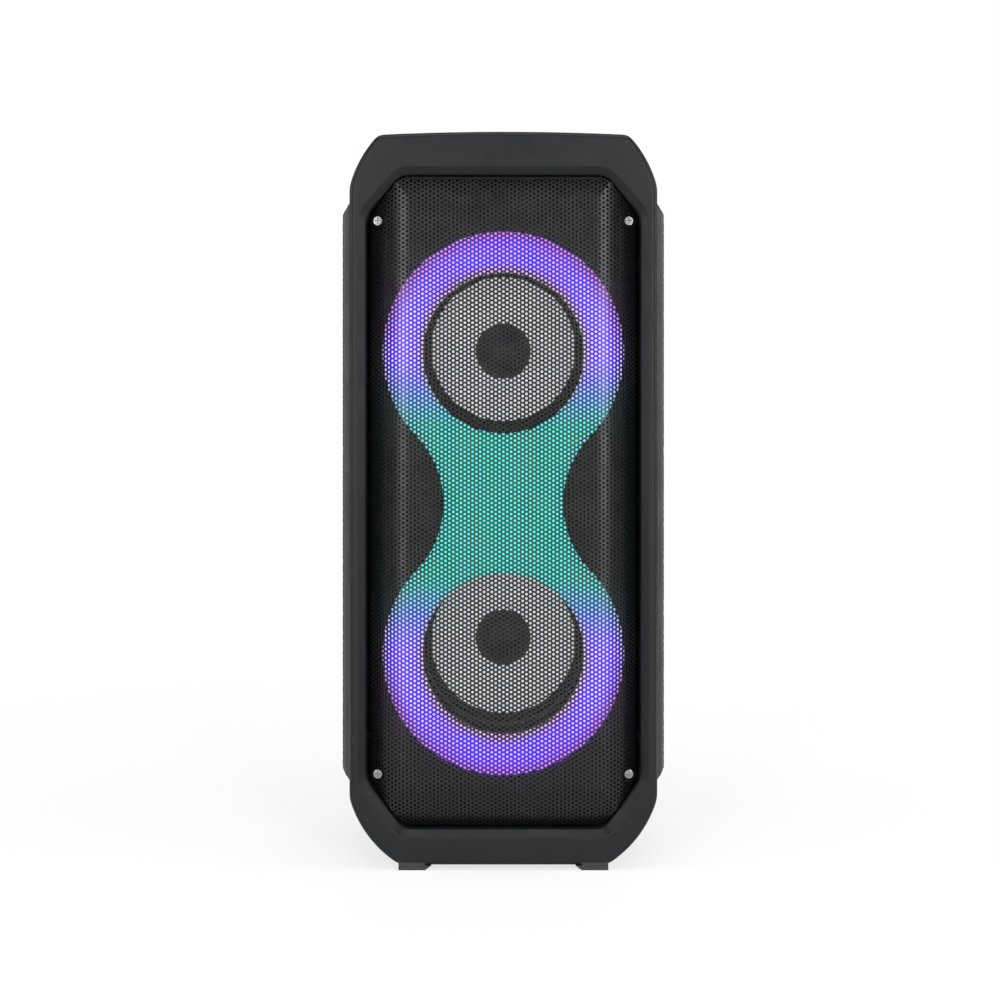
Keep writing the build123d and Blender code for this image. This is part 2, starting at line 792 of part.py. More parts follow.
def make_frame(name, z):
    """Pressed basket with six windows, the gasket on its flange, its screws and its terminal block."""
    sheet = 2.0
    step_y = flange_front + spider_depth + rubber_thickness + glue
    step_radius = spider_radius - 3.5
    seat_inner = roll_centre + roll_radius - 0.4
    lip_radius = flange_radius - 5.6
    shell_back = basket_back
    outline = [
        (lip_radius, flange_front),
        (flange_radius, flange_front),
        (flange_radius, flange_front + flange_thickness),
        (seat_inner + 2.8, flange_front + flange_thickness),
        (spider_radius + 3.0, step_y + sheet),
        (step_radius + sheet, step_y + sheet),
        (step_radius + sheet, shell_back),
        (plate_bore + 2, shell_back),
        (plate_bore + 2, shell_back - sheet),
        (step_radius, shell_back - sheet),
        (step_radius, step_y),
        (spider_radius + 1.5, step_y),
        (seat_inner, flange_front + flange_thickness),
        (seat_inner, seat_y),
        (lip_radius, seat_y),
    ]
    shell = turned(outline, z)
    with BuildPart() as basket:
        add(shell.part)
        window_y = (flange_front + flange_thickness + 4, step_y - 3)
        with BuildSketch(Plane.XZ.offset(-window_y[1])):
            with Locations((0, z)):
                with PolarLocations(45, 6, start_angle=30):
                    Rectangle(30, 22)
        extrude(amount=window_y[1] - window_y[0], mode=Mode.SUBTRACT)
        with BuildSketch(facing(flange_front + flange_thickness)):
            with Locations((0, z)):
                with PolarLocations(driver_screw_circle, 4, start_angle=45):
                    Circle(screw_radius + screw_clearance)
        extrude(amount=flange_thickness, mode=Mode.SUBTRACT)
    save(basket, f"{name}_basket")
    with BuildPart() as gasket:
        with BuildSketch(facing(flange_front)):
            with Locations((0, z)):
                Circle(flange_radius)
                Circle(lip_radius, mode=Mode.SUBTRACT)
                with PolarLocations(driver_screw_circle, 4, start_angle=45):
                    Circle(screw_radius + screw_clearance, mode=Mode.SUBTRACT)
        extrude(amount=gasket_thickness)
    save(gasket, f"{name}_gasket")
    corner = driver_screw_circle * cos(pi / 4)
    points = [(sx * corner, z + sz * corner) for sx in (-1, 1) for sz in (-1, 1)]
    save(screws(points, flange_front + flange_thickness, -1, 9), f"{name}_driver_screws")
    with BuildPart() as terminal:
        with BuildSketch(facing(shell_back)):
            with Locations((step_radius + sheet + 5, z)):
                Rectangle(10, 16)
        extrude(amount=3)
        with BuildSketch(facing(shell_back - 3)):
            for rise in (-4.5, 4.5):
                with Locations((step_radius + sheet + 6, z + rise)):
                    Rectangle(3, 3)
        extrude(amount=3)
    save(terminal, f"{name}_terminal")


def make_controls():
    """Top panel with five buttons and a rotary knob over the control board."""
    button_xs = [button_pitch * (i - 2) for i in range(5)]
    with BuildPart() as panel:
        with BuildSketch(Plane.XY.offset(panel_bottom)):
            with Locations((0, panel_y)):
                Rectangle(panel_width - 2 * panel_clearance, panel_length - 2 * panel_clearance)
            with Locations(*[(x, button_y) for x in button_xs]):
                Circle(button_radius + button_clearance, mode=Mode.SUBTRACT)
            with Locations((0, knob_y)):
                Circle(shaft_radius + 1, mode=Mode.SUBTRACT)
        extrude(amount=panel_thickness)
        with BuildSketch(Plane.XY.offset(panel_top)):
            with Locations((0, knob_y)):
                Circle(knob_radius + 3)
                Circle(shaft_radius + 1, mode=Mode.SUBTRACT)
        extrude(amount=-1.0, mode=Mode.SUBTRACT)
        chamfer(panel.faces().sort_by(Axis.Z)[-1].outer_wire().edges(), length=0.5)
    save(panel, "control_panel")
    flange_top = panel_bottom - 0.4
    names = ("power_button", "pair_button", "play_button", "light_button", "mode_button")
    for name, x in zip(names, button_xs):
        with BuildPart() as button:
            with BuildSketch(Plane.XY.offset(flange_top - button_flange)):
                with Locations((x, button_y)):
                    Circle(button_radius + 1.2)
            extrude(amount=button_flange)
            with BuildSketch(Plane.XY.offset(flange_top)):
                with Locations((x, button_y)):
                    Circle(button_radius)
            extrude(amount=panel_top + button_proud - flange_top)
            fillet(button.faces().sort_by(Axis.Z)[-1].edges(), radius=1.0)
        save(button, name)
    switch_top = flange_top - button_flange - button_travel - 0.2
    board_top = control_board_z + board_thickness + 0.4
    with BuildPart() as board:
        with BuildSketch(Plane.XY.offset(control_board_z)):
            with Locations((0, panel_y)):
                Rectangle(panel_width - 12, panel_length - 12)
        extrude(amount=board_top - control_board_z)
        with BuildSketch(Plane.XY.offset(board_top)):
            with Locations(*[(x, button_y) for x in button_xs]):
                Rectangle(6, 6)
        extrude(amount=switch_top - board_top)
        with BuildSketch(Plane.XY.offset(board_top)):
            for side_x in (-1, 1):
                for forward in (0, 1):
                    with Locations((side_x * (panel_width / 2 - 9), panel_y + forward * (panel_length / 2 - 9))):
                        Circle(2.5)
        extrude(amount=panel_bottom - board_top)
    save(board, "control_board")
    with BuildPart() as encoder:
        with BuildSketch(Plane.XY.offset(board_top)):
            with Locations((0, knob_y)):
                Rectangle(13, 13)
                Circle(shaft_radius + running_clearance, mode=Mode.SUBTRACT)
        extrude(amount=encoder_height)
    save(encoder, "volume_encoder")
    knob_bottom = panel_top - 1.0 + knob_gap
    with BuildPart() as knob:
        with BuildSketch(Plane.XY.offset(knob_bottom)):
            with Locations((0, knob_y)):
                Circle(knob_radius)
        extrude(amount=knob_height)
        fillet(knob.faces().sort_by(Axis.Z)[-1].edges(), radius=1.2)
        with BuildSketch(Plane.XY.offset(knob_bottom)):
            with Locations((0, knob_y)):
                with PolarLocations(knob_radius + 0.4, knob_grip_count):
                    Circle(0.9)
        extrude(amount=knob_height - 2, mode=Mode.SUBTRACT)
        with BuildSketch(Plane.XY.offset(knob_bottom + knob_height)):
            with Locations((0, knob_y + knob_radius - 5)):
                Rectangle(1.2, 6)
        extrude(amount=-0.6, mode=Mode.SUBTRACT)
        with BuildSketch(Plane.XY.offset(board_top + 0.5)):
            with Locations((0, knob_y)):
                Circle(shaft_radius)
        extrude(amount=knob_bottom - board_top - 0.5)
    save(knob, "volume_knob")


def make_handle_cup():
    """Pocket grip set into the back wall."""
    outer_y = back_y
    with BuildPart() as cup:
        with BuildSketch(facing(outer_y)):
            with Locations((0, grip_z)):
                Rectangle(grip_width + 2 * frame_lip, grip_height + 2 * frame_lip)
        extrude(amount=cabinet_wall / 2)
        with BuildSketch(facing(outer_y)):
            with Locations((0, grip_z)):
                Rectangle(grip_width, grip_height)
        extrude(amount=grip_depth)
        fillet(cup.edges().filter_by(Axis.Y), radius=grip_corner)
        with BuildSketch(facing(outer_y)):
            with Locations((0, grip_z)):
                RectangleRounded(grip_width - 2 * grip_wall, grip_height - 2 * grip_wall, grip_corner)
        extrude(amount=grip_depth - grip_wall, mode=Mode.SUBTRACT)
    save(cup, "handle_cup")


def make_port():
    """Bass port: a tube with a flared mouth at the back wall."""
    mouth = port_radius + port_wall + frame_lip
    inner = port_radius
    outer = port_radius + port_wall
    front = back_y - port_length
    with BuildPart() as port:
        with BuildSketch(Plane.XY.offset(port_z)):
            with BuildLine():
                Polyline(
                    (inner, back_y - port_flare),
                    (inner, front),
                    (outer, front),
                    (outer, back_y - cabinet_wall / 2),
                    (mouth, back_y - cabinet_wall / 2),
                    (mouth, back_y),
                    (inner + port_flare, back_y),
                )
                ThreePointArc(
                    (inner + port_flare, back_y),
                    (inner + port_flare * (1 - cos(pi / 4)), back_y - port_flare * (1 - sin(pi / 4))),
                    (inner, back_y - port_flare),
                )
            make_face()
        revolve(axis=Axis((0, 0, port_z), (0, 1, 0)))
    save(port, "port_tube")


def make_jack(name, x, hole, length):
    """Round socket with a nut on the panel and a body behind it."""
    panel_face = back_y - io_recess
    barrel = hole + jack_wall
    with BuildPart() as jack:
        with BuildSketch(facing(panel_face)):
            with Locations((x, io_z)):
                Circle(barrel)
        extrude(amount=io_thickness)
        with BuildSketch(facing(back_y)):
            with Locations((x, io_z)):
                Circle(barrel + jack_nut)
        extrude(amount=io_recess)
        with BuildSketch(facing(panel_face - io_thickness)):
            with Locations((x, io_z)):
                Rectangle(2 * barrel + 3, 2 * barrel + 3)
        extrude(amount=board_gap)
        with BuildSketch(facing(back_y)):
            with Locations((x, io_z)):
                Circle(hole)
        extrude(amount=length, mode=Mode.SUBTRACT)
    save(jack, name)


def make_flat_socket(name, x, mouth, shell):
    """Rectangular socket: a shell that stands through the panel, closed at the back."""
    panel_face = back_y - io_recess
    with BuildPart() as socket:
        with BuildSketch(facing(panel_face)):
            with Locations((x, io_z)):
                Rectangle(mouth[0] + 2 * shell, mouth[1] + 2 * shell)
        extrude(amount=io_thickness + board_gap)
        with BuildSketch(facing(panel_face)):
            with Locations((x, io_z)):
                Rectangle(*mouth)
        extrude(amount=12, mode=Mode.SUBTRACT)
    save(socket, name)


def make_back():
    """Socket panel with its sockets."""
    panel_face = back_y - io_recess
    with BuildPart() as panel:
        with BuildSketch(facing(panel_face)):
            with Locations((0, io_z)):
                Rectangle(io_width - 2 * panel_clearance, io_height - 2 * panel_clearance)
            with Locations((mic_x, io_z)):
                Circle(plug_radius + jack_wall + panel_clearance, mode=Mode.SUBTRACT)
            with Locations((aux_x, io_z)):
                Circle(small_plug_radius + jack_wall + panel_clearance, mode=Mode.SUBTRACT)
            with Locations((usb_x, io_z)):
                Rectangle(usb_mouth[0] + 2.6, usb_mouth[1] + 2.6, mode=Mode.SUBTRACT)
            with Locations((charge_x, io_z)):
                Rectangle(charge_mouth[0] + 2.6, charge_mouth[1] + 2.6, mode=Mode.SUBTRACT)
        extrude(amount=io_thickness)
    save(panel, "io_panel")
    make_jack("mic_jack", mic_x, plug_radius, plug_length)
    make_jack("aux_jack", aux_x, small_plug_radius, small_plug_length)
    make_flat_socket("usb_port", usb_x, usb_mouth, 1.0)
    make_flat_socket("charge_inlet", charge_x, charge_mouth, 1.0)


def make_electronics():
    """Amplifier board behind the sockets, its heat sink, and the battery under its strap."""
    board_y = back_y - io_recess - io_thickness - board_gap
    with BuildPart() as board:
        with BuildSketch(facing(board_y)):
            with Locations((0, amplifier_z)):
                Rectangle(*amplifier_size)
        extrude(amount=1.6)
        with BuildSketch(facing(board_y - 1.6)):
            with Locations((32, amplifier_z + 30), (48, amplifier_z + 30), (32, amplifier_z + 10)):
                Circle(6)
        extrude(amount=16)
        with BuildSketch(facing(back_y - cabinet_wall)):
            for side_x in (-1, 1):
                with Locations((side_x * (amplifier_size[0] / 2 - 6), amplifier_z + amplifier_size[1] / 2 - 6)):
                    Circle(3)
        extrude(amount=back_y - cabinet_wall - board_y)
    save(board, "amplifier_board")
    with BuildPart() as sink:
        with BuildSketch(facing(board_y - 1.6)):
            with Locations((-26, amplifier_z + 22)):
                Rectangle(44, 40)
        extrude(amount=4)
        with BuildSketch(facing(board_y - 5.6)):
            with Locations((-26, amplifier_z + 22)):
                with GridLocations(5.5, 0, 8, 1):
                    Rectangle(1.6, 40)
        extrude(amount=14)
    save(sink, "heat_sink")
    floor_z = foot_height + cabinet_wall
    with BuildPart() as battery:
        with BuildSketch(Plane.XY.offset(floor_z)):
            with Locations((0, battery_y)):
                RectangleRounded(battery_size[0], battery_size[1], 4)
        extrude(amount=battery_size[2])
        fillet(battery.faces().sort_by(Axis.Z)[-1].edges(), radius=2)
    save(battery, "battery_pack")
    inner = battery_size[0] / 2 + 0.5
    top = floor_z + battery_size[2] + 0.3
    path = [
        (-inner - 8, floor_z),
        (-inner - 8, floor_z + strap_thickness),
        (-inner - strap_thickness, floor_z + strap_thickness),
        (-inner - strap_thickness, top + strap_thickness),
        (inner + strap_thickness, top + strap_thickness),
        (inner + strap_thickness, floor_z + strap_thickness),
        (inner + 8, floor_z + strap_thickness),
        (inner + 8, floor_z),
        (inner, floor_z),
        (inner, top),
        (-inner, top),
        (-inner, floor_z),
    ]
    with BuildPart() as strap:
        with BuildSketch(facing(battery_y)):
            with BuildLine():
                Polyline(*path, close=True)
            make_face()
        extrude(amount=strap_width / 2, both=True)
    save(strap, "battery_strap")


def make_leads():
    """A pair of wires from each driver's terminal to the amplifier board."""
    board_y = back_y - io_recess - io_thickness - board_gap
    top = amplifier_z + amplifier_size[1] / 2
    terminal_x = spider_radius - 3.5 + 2.0 + 6
    terminal_y = basket_back - 6
    bends = [8.0, 8.0, 8.0]
    with BuildPart() as leads:
        for index, (name, z) in enumerate(driver_centres):
            for rise in (-4.5, 4.5):
                start = (terminal_x + 1.6 + wire_radius, terminal_y + 1.5, z + rise)
                side = 58.0 + rise / 3 + 6 * index
                end_z = top - 8 - 5 * index - rise / 3 * 1.5
                route = [
                    start,
                    (side, terminal_y + 1.5, z + rise),
                    (side, 24.0 + rise, z + rise),
                    (side, 24.0 + rise, end_z),
                    (side, board_y - 1.6 - 0.0, end_z),
                ]
                with BuildLine() as line:
                    FilletPolyline(*route, radius=bends)
                with BuildSketch(Plane(origin=start, z_dir=(1, 0, 0))):
                    Circle(wire_radius)
                sweep(path=line.line)
    save(leads, "speaker_leads")
    print("speaker_leads bend radii", bends)


make_bezel()
make_feet()
make_cabinet()
make_cheek(1, "cheek_right")
make_cheek(-1, "cheek_left")
make_baffle()
make_grille()
make_light()
for driver_name, driver_z in driver_centres:
    make_suspension(driver_name, driver_z)
    make_moving_parts(driver_name, driver_z)
    make_motor(driver_name, driver_z)
    make_frame(driver_name, driver_z)
make_controls()
make_handle_cup()
make_port()
make_back()
make_electronics()
make_leads()
save(screws(post_points, ledge_y + 2 * ledge_thickness, -1, 12), "cabinet_screws")
save(screws(bezel_screw_points, ledge_y, -1, 12), "bezel_screws")
save(screws(grille_screw_points, screw_cup_y, 1, 8), "grille_screws")
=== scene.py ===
"""Looks of an upright party speaker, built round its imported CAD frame.

Sizes are in millimetres until a mesh is made. X runs to the right, Y to the back and Z up.
"""

import logging
import math
from dataclasses import dataclass
from enum import Enum
from typing import Any, Sequence

import bpy
import numpy as np
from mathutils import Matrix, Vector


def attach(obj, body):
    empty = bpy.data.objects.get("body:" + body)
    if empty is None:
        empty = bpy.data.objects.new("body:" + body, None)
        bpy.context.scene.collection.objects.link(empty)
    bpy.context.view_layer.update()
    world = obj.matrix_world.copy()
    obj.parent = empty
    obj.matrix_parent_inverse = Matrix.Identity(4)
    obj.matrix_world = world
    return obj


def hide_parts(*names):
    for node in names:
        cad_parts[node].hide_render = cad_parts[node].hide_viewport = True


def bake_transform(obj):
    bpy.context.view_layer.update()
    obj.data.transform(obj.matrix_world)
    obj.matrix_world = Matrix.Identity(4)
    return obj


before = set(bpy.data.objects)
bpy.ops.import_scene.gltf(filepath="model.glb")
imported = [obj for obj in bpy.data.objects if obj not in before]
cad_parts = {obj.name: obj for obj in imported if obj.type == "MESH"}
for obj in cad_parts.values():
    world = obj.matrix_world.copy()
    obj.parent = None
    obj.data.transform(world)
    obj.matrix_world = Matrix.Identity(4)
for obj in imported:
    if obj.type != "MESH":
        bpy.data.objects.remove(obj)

LOG = logging.getLogger("speaker")
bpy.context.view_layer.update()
MM = 0.001
NEW_SHARP_ANGLE = math.radians(38)
CAD_SHARP_ANGLE = math.radians(28)
WELD_REACH = 0.002 * MM
FRONT = -82.5
RING_TOP = 291.0
RING_BOTTOM = 119.5
RING_RADIUS = 68.6
BORE_RADIUS = 46.0
WAIST_HALF = 34.0
DRIVER_RISE = 4.0

Colour = tuple[float, float, float]


class Grain(Enum):
    """Kinds of small relief that a finish can carry."""

    MOULDED = "moulded"
    PEBBLE = "pebble"
    BRUSHED = "brushed"
    WOVEN = "woven"
    FIBRE = "fibre"
    TRACES = "traces"


class Signal:
    """A number socket that takes part in Python expressions."""

    def __init__(self, maker: "Recipe", socket: Any) -> None:
        """Wrap one output socket of a recipe's node tree."""
        self.maker = maker
        self.socket = socket

    def _math(self, operation: str, *operands: Any) -> "Signal":
        """Add one Math node fed by the operands."""
        settings = {"operation": operation}
        inputs = dict(enumerate(operands))
        return Signal(self.maker, self.maker.node("ShaderNodeMath", settings, inputs).outputs[0])

    def __add__(self, other: Any) -> "Signal":
        """Sum."""
        return self._math("ADD", self, other)

    __radd__ = __add__

    def __sub__(self, other: Any) -> "Signal":
        """Difference."""
        return self._math("SUBTRACT", self, other)

    def __rsub__(self, other: Any) -> "Signal":
        """Difference, reflected."""
        return self._math("SUBTRACT", other, self)

    def __mul__(self, other: Any) -> "Signal":
        """Product."""
        return self._math("MULTIPLY", self, other)

    __rmul__ = __mul__

    def __abs__(self) -> "Signal":
        """Size without sign."""
        return self._math("ABSOLUTE", self)

    def minimum(self, other: Any) -> "Signal":
        """Smaller of two values."""
        return self._math("MINIMUM", self, other)

    def maximum(self, other: Any) -> "Signal":
        """Larger of two values."""
        return self._math("MAXIMUM", self, other)

    def root(self) -> "Signal":
        """Square root."""
        return self._math("SQRT", self)

    def ramp(self, low: float, high: float, start: float = 0.0, end: float = 1.0) -> "Signal":
        """Smooth step from start to end as the value goes from low to high."""
        settings = {"interpolation_type": "SMOOTHSTEP"}
        inputs = {"Value": self, "From Min": low, "From Max": high, "To Min": start, "To Max": end}
        return Signal(self.maker, self.maker.node("ShaderNodeMapRange", settings, inputs).outputs["Result"])


class Recipe:
    """A material under construction."""

    def __init__(self, name: str) -> None:
        """Start an empty node material with one Principled shader."""
        self.material = bpy.data.materials.new(name)
        self.material.use_nodes = True
        self.tree = self.material.node_tree
        self.tree.nodes.clear()
        self.output = self.node("ShaderNodeOutputMaterial", {}, {})
        self.shader = self.node("ShaderNodeBsdfPrincipled", {}, {})
        self.tree.links.new(self.shader.outputs[0], self.output.inputs["Surface"])
        self.place = self.node("ShaderNodeTexCoord", {}, {}).outputs["Object"]

    def node(self, kind: str, settings: dict[str, Any], inputs: dict[Any, Any]) -> Any:
        """Add a node.

        Args:
            kind: Blender's node type.
            settings: properties, set first.
            inputs: socket name or index to a value, a Signal or an output socket.

        Returns:
            The new node.
        """
        made = self.tree.nodes.new(kind)
        for key, value in settings.items():
            setattr(made, key, value)
        for key, value in inputs.items():
            if isinstance(value, Signal):
                value = value.socket
            if isinstance(value, bpy.types.NodeSocket):
                self.tree.links.new(value, made.inputs[key])
            else:
                made.inputs[key].default_value = value
        return made

    def noise(self, scale: float, detail: float = 3.0, stretch: Colour = (1.0, 1.0, 1.0)) -> Signal:
        """Noise on Object coordinates, about 0 to 1, at scale cycles a metre, stretched per axis."""
        place = self.node("ShaderNodeMapping", {}, {"Vector": self.place, "Scale": stretch}).outputs[0]
        inputs = {"Vector": place, "Scale": scale, "Detail": detail}
        return Signal(self, self.node("ShaderNodeTexNoise", {}, inputs).outputs[0])

    def cells(self, scale: float) -> Signal:
        """Distance to the nearest of scattered points, with scale points a metre."""
        inputs = {"Vector": self.place, "Scale": scale}
        return Signal(self, self.node("ShaderNodeTexVoronoi", {"feature": "F1"}, inputs).outputs["Distance"])

    def axes(self) -> tuple[Signal, Signal, Signal]:
        """The three Object coordinates in metres."""
        split = self.node("ShaderNodeSeparateXYZ", {}, {"Vector": self.place})
        return Signal(self, split.outputs[0]), Signal(self, split.outputs[1]), Signal(self, split.outputs[2])

    def mix(self, factor: Any, first: Any, second: Any) -> Any:
        """Mix of two colours, first where factor is 0."""
        made = self.node("ShaderNodeMix", {"data_type": "RGBA"}, {"Factor": factor})
        for socket, value in ((made.inputs[6], first), (made.inputs[7], second)):
            if isinstance(value, tuple):
                socket.default_value = (*value, 1.0)
            else:
                self.tree.links.new(value, socket)
        return made.outputs[2]

    def feed(self, **sockets: Any) -> None:
        """Set or link the shader's sockets, with underscores for spaces in their names."""
        for key, value in sockets.items():
            socket = self.shader.inputs[key.replace("_", " ")]
            if isinstance(value, Signal):
                value = value.socket
            if isinstance(value, bpy.types.NodeSocket):
                self.tree.links.new(value, socket)
            elif isinstance(value, tuple):
                socket.default_value = (*value, 1.0)
            else:
                socket.default_value = value

    def relief(self, height: Signal, strength: float, distance: float) -> None:
        """Bump the surface by height, with distance in metres."""
        inputs = {"Strength": strength, "Distance": distance, "Height": height}
        self.feed(Normal=self.node("ShaderNodeBump", {}, inputs).outputs[0])


@dataclass(frozen=True)
class Finish:
    """An opaque finish with one kind of small relief."""

    name: str
    light: Colour
    dark: Colour
    roughness: float
    grain: Grain = Grain.MOULDED
    scale: float = 1400.0
    strength: float = 0.25
    metallic: float = 0.0
    coat: float = 0.0
    specular: float = 0.5
    glow: Colour | None = None
    glow_strength: float = 0.0

    def height(self, recipe: Recipe) -> Signal:
        """Relief of this grain, about 0 to 1."""
        if self.grain is Grain.PEBBLE:
            return 1.0 - recipe.cells(self.scale)
        if self.grain is Grain.BRUSHED:
            return recipe.noise(self.scale, 4.0, (1.0, 0.06, 1.0))
        if self.grain is Grain.WOVEN:
            x, _, z = recipe.axes()
            warp = abs((x * self.scale)._math("SINE", x * self.scale))
            weft = abs((z * self.scale)._math("SINE", z * self.scale))
            return warp.maximum(weft)
        if self.grain is Grain.FIBRE:
            return recipe.noise(self.scale, 6.0, (1.0, 1.0, 0.35))
        if self.grain is Grain.TRACES:
            return recipe.noise(self.scale, 1.0).ramp(0.47, 0.53)
        return recipe.noise(self.scale, 4.0)

    def material(self) -> Any:
        """Build the Blender material."""
        recipe = Recipe(self.name)
        height = self.height(recipe)
        cloud = recipe.noise(22.0, 5.0).ramp(0.35, 0.68)
        tone = (0.62 * cloud) + (0.38 * height)
        rough = recipe.noise(60.0, 4.0).ramp(0.3, 0.7, self.roughness * 0.88, min(1.0, self.roughness * 1.12))
        recipe.feed(Base_Color=recipe.mix(tone, self.dark, self.light), Roughness=rough)
        recipe.feed(Metallic=self.metallic, Coat_Weight=self.coat, Specular_IOR_Level=self.specular)
        if self.glow is not None:
            recipe.feed(Emission_Color=recipe.mix(tone, tuple(0.9 * c for c in self.glow), self.glow))
            recipe.feed(Emission_Strength=self.glow_strength)
        recipe.relief(height, self.strength, 0.0003)
        return recipe.material


@dataclass(frozen=True)
class LightField:
    """Colours of the figure-of-eight light over the front, as a function of place."""

    violet: Colour
    blue: Colour
    teal: Colour
    pale: Colour
    edge: Colour

    def shape(self, recipe: Recipe) -> tuple[Signal, Signal, Signal]:
        """Where the light is.

        Args:
            recipe: the material that asks.

        Returns:
            Mask of the lit shape, distance above or below its waist, and share of the edge colour.
        """
        x, _, z = recipe.axes()
        side = abs(x)
        half = (RING_TOP - RING_BOTTOM) / 2
        hollow = (WAIST_HALF**2 + half**2 - RING_RADIUS**2) / (2 * (RING_RADIUS - WAIST_HALF))
        middle = (RING_TOP + RING_BOTTOM) / 2 * MM
        touch_x = (WAIST_HALF + hollow) * RING_RADIUS / (RING_RADIUS + hollow) * MM
        touch_z = half * hollow / (RING_RADIUS + hollow) * MM
        rise = z - middle
        far = abs(rise) - half * MM
        radius = (x * x + far * far).root()
        notch = side - (WAIST_HALF + hollow) * MM
        waist = (notch * notch + rise * rise).root().ramp((hollow - 0.5) * MM, (hollow + 7.0) * MM)
        low = abs(rise).ramp(touch_z - MM, touch_z + MM, 1.0, 0.0)
        band = low * side.ramp(touch_x, touch_x + MM, 1.0, 0.0)
        disc = radius.ramp((RING_RADIUS - 8.0) * MM, (RING_RADIUS + 0.6) * MM, 1.0, 0.0)
        bore = radius.ramp((BORE_RADIUS - 1.0) * MM, (BORE_RADIUS + 5.0) * MM)
        mask = disc.maximum(waist * band) * bore
        edge = radius.ramp(0.057, 0.0675) * abs(rise).ramp(0.070, 0.115)
        return mask, abs(rise), edge

    def colour(self, recipe: Recipe, rise: Signal, edge: Signal) -> Any:
        """Colour of the light: teal at the waist, then blue, then violet, paler at the sides.

        Args:
            recipe: the material that asks.
            rise: distance above or below the waist.
            edge: share of the edge colour.

        Returns:
            Colour socket.
        """
        x, _, _ = recipe.axes()
        sideways = abs(x).ramp(0.030, 0.062)
        base = recipe.mix(edge, recipe.mix(sideways, self.violet, self.pale), self.edge)
        cool = recipe.mix(rise.ramp(0.056, 0.086), self.blue, base)
        return recipe.mix(rise.ramp(0.040, 0.068), self.teal, cool)


@dataclass(frozen=True)
class GlowPaintedSheet:
    """Powder-coated sheet with painted light: emission paints the glow that the light behind it throws on the
    hole edges.
    """

    name: str = "sheet_painted_glow"

    def material(self) -> Any:
        """Build the Blender material."""
        recipe = Recipe(self.name)
        lit = LightField(
            violet=(0.010, 0.001, 0.80),
            blue=(0.004, 0.030, 0.34),
            teal=(0.001, 0.074, 0.038),
            pale=(0.040, 0.002, 0.85),
            edge=(0.030, 0.001, 0.45),
        )
        mask, rise, edge = lit.shape(recipe)
        grain = recipe.noise(2600.0, 3.0)
        recipe.feed(Base_Color=recipe.mix(grain, (0.002, 0.0025, 0.0025), (0.005, 0.006, 0.006)))
        recipe.feed(Roughness=recipe.noise(90.0, 3.0).ramp(0.3, 0.7, 0.30, 0.37), Specular_IOR_Level=0.34)
        # Painted light: the sheet's emission, in the ring's colours, stands in for the light from the
        # diffuser falling on the webs.
        recipe.feed(Emission_Color=recipe.mix(mask, (0.0, 0.0, 0.0), lit.colour(recipe, rise, edge)))
        recipe.feed(Emission_Strength=1.0)
        recipe.relief(grain, 0.2, 0.0001)
        return recipe.material


@dataclass(frozen=True)
class Diffuser:
    """Milky plastic lit from behind, violet round the rings and teal in the waist."""

    name: str = "lit_diffuser"

    def material(self) -> Any:
        """Build the Blender material."""
        recipe = Recipe(self.name)
        lit = LightField(
            violet=(0.82, 0.44, 0.96),
            blue=(0.36, 0.60, 0.92),
            teal=(0.07, 0.88, 0.80),
            pale=(0.92, 0.72, 0.96),
            edge=(0.74, 0.22, 0.90),
        )
        _, rise, edge = lit.shape(recipe)
        cloud = recipe.noise(40.0, 3.0).ramp(0.3, 0.7, 0.0, 0.10)
        glow = recipe.mix(cloud, lit.colour(recipe, rise, edge), (0.5, 0.4, 0.9))
        recipe.feed(Base_Color=recipe.mix(cloud, (0.10, 0.09, 0.12), (0.06, 0.05, 0.09)), Roughness=0.4)
        recipe.feed(Emission_Color=glow, Emission_Strength=1.0)
        recipe.relief(recipe.noise(900.0, 2.0), 0.1, 0.0001)
        return recipe.material


BODY = Finish(
    "body_plastic",
    light=(0.0085, 0.0105, 0.011),
    dark=(0.007, 0.0087, 0.0093),
    roughness=0.40,
    scale=1500.0,
    strength=0.14,
    specular=0.20,
)
CHEEK = Finish(
    "cheek_plastic",
    light=(0.046, 0.044, 0.040),
    dark=(0.034, 0.033, 0.030),
    roughness=0.55,
    grain=Grain.PEBBLE,
    scale=900.0,
    strength=0.35,
)
INNER = Finish(
    "baffle_plastic",
    light=(0.010, 0.010, 0.011),
    dark=(0.006, 0.006, 0.007),
    roughness=0.6,
    strength=0.2,
)
GLOSS = Finish(
    "panel_plastic",
    light=(0.016, 0.016, 0.018),
    dark=(0.011, 0.011, 0.012),
    roughness=0.16,
    scale=700.0,
    strength=0.03,
    coat=0.5,
)
ZINC = Finish(
    "zinc_steel",
    light=(0.30, 0.29, 0.28),
    dark=(0.19, 0.185, 0.18),
    roughness=0.34,
    grain=Grain.BRUSHED,
    scale=2400.0,
    strength=0.2,
    metallic=1.0,
)
NICKEL = Finish(
    "nickel",
    light=(0.72, 0.70, 0.66),
    dark=(0.55, 0.53, 0.50),
    roughness=0.22,
    grain=Grain.BRUSHED,
    scale=1800.0,
    strength=0.08,
    metallic=1.0,
)
MACHINED = Finish(
    "machined_steel",
    light=(0.56, 0.57, 0.58),
    dark=(0.40, 0.41, 0.42),
    roughness=0.33,
    grain=Grain.BRUSHED,
    scale=2200.0,
    strength=0.2,
    metallic=1.0,
)
RUBBER = Finish(
    "black_rubber",
    light=(0.022, 0.022, 0.023),
    dark=(0.013, 0.013, 0.014),
    roughness=0.62,
    scale=2200.0,
    strength=0.3,
)
KEY_RUBBER = Finish(
    "key_rubber",
    light=(0.060, 0.061, 0.064),
    dark=(0.044, 0.045, 0.048),
    roughness=0.55,
    scale=2400.0,
    strength=0.25,
)
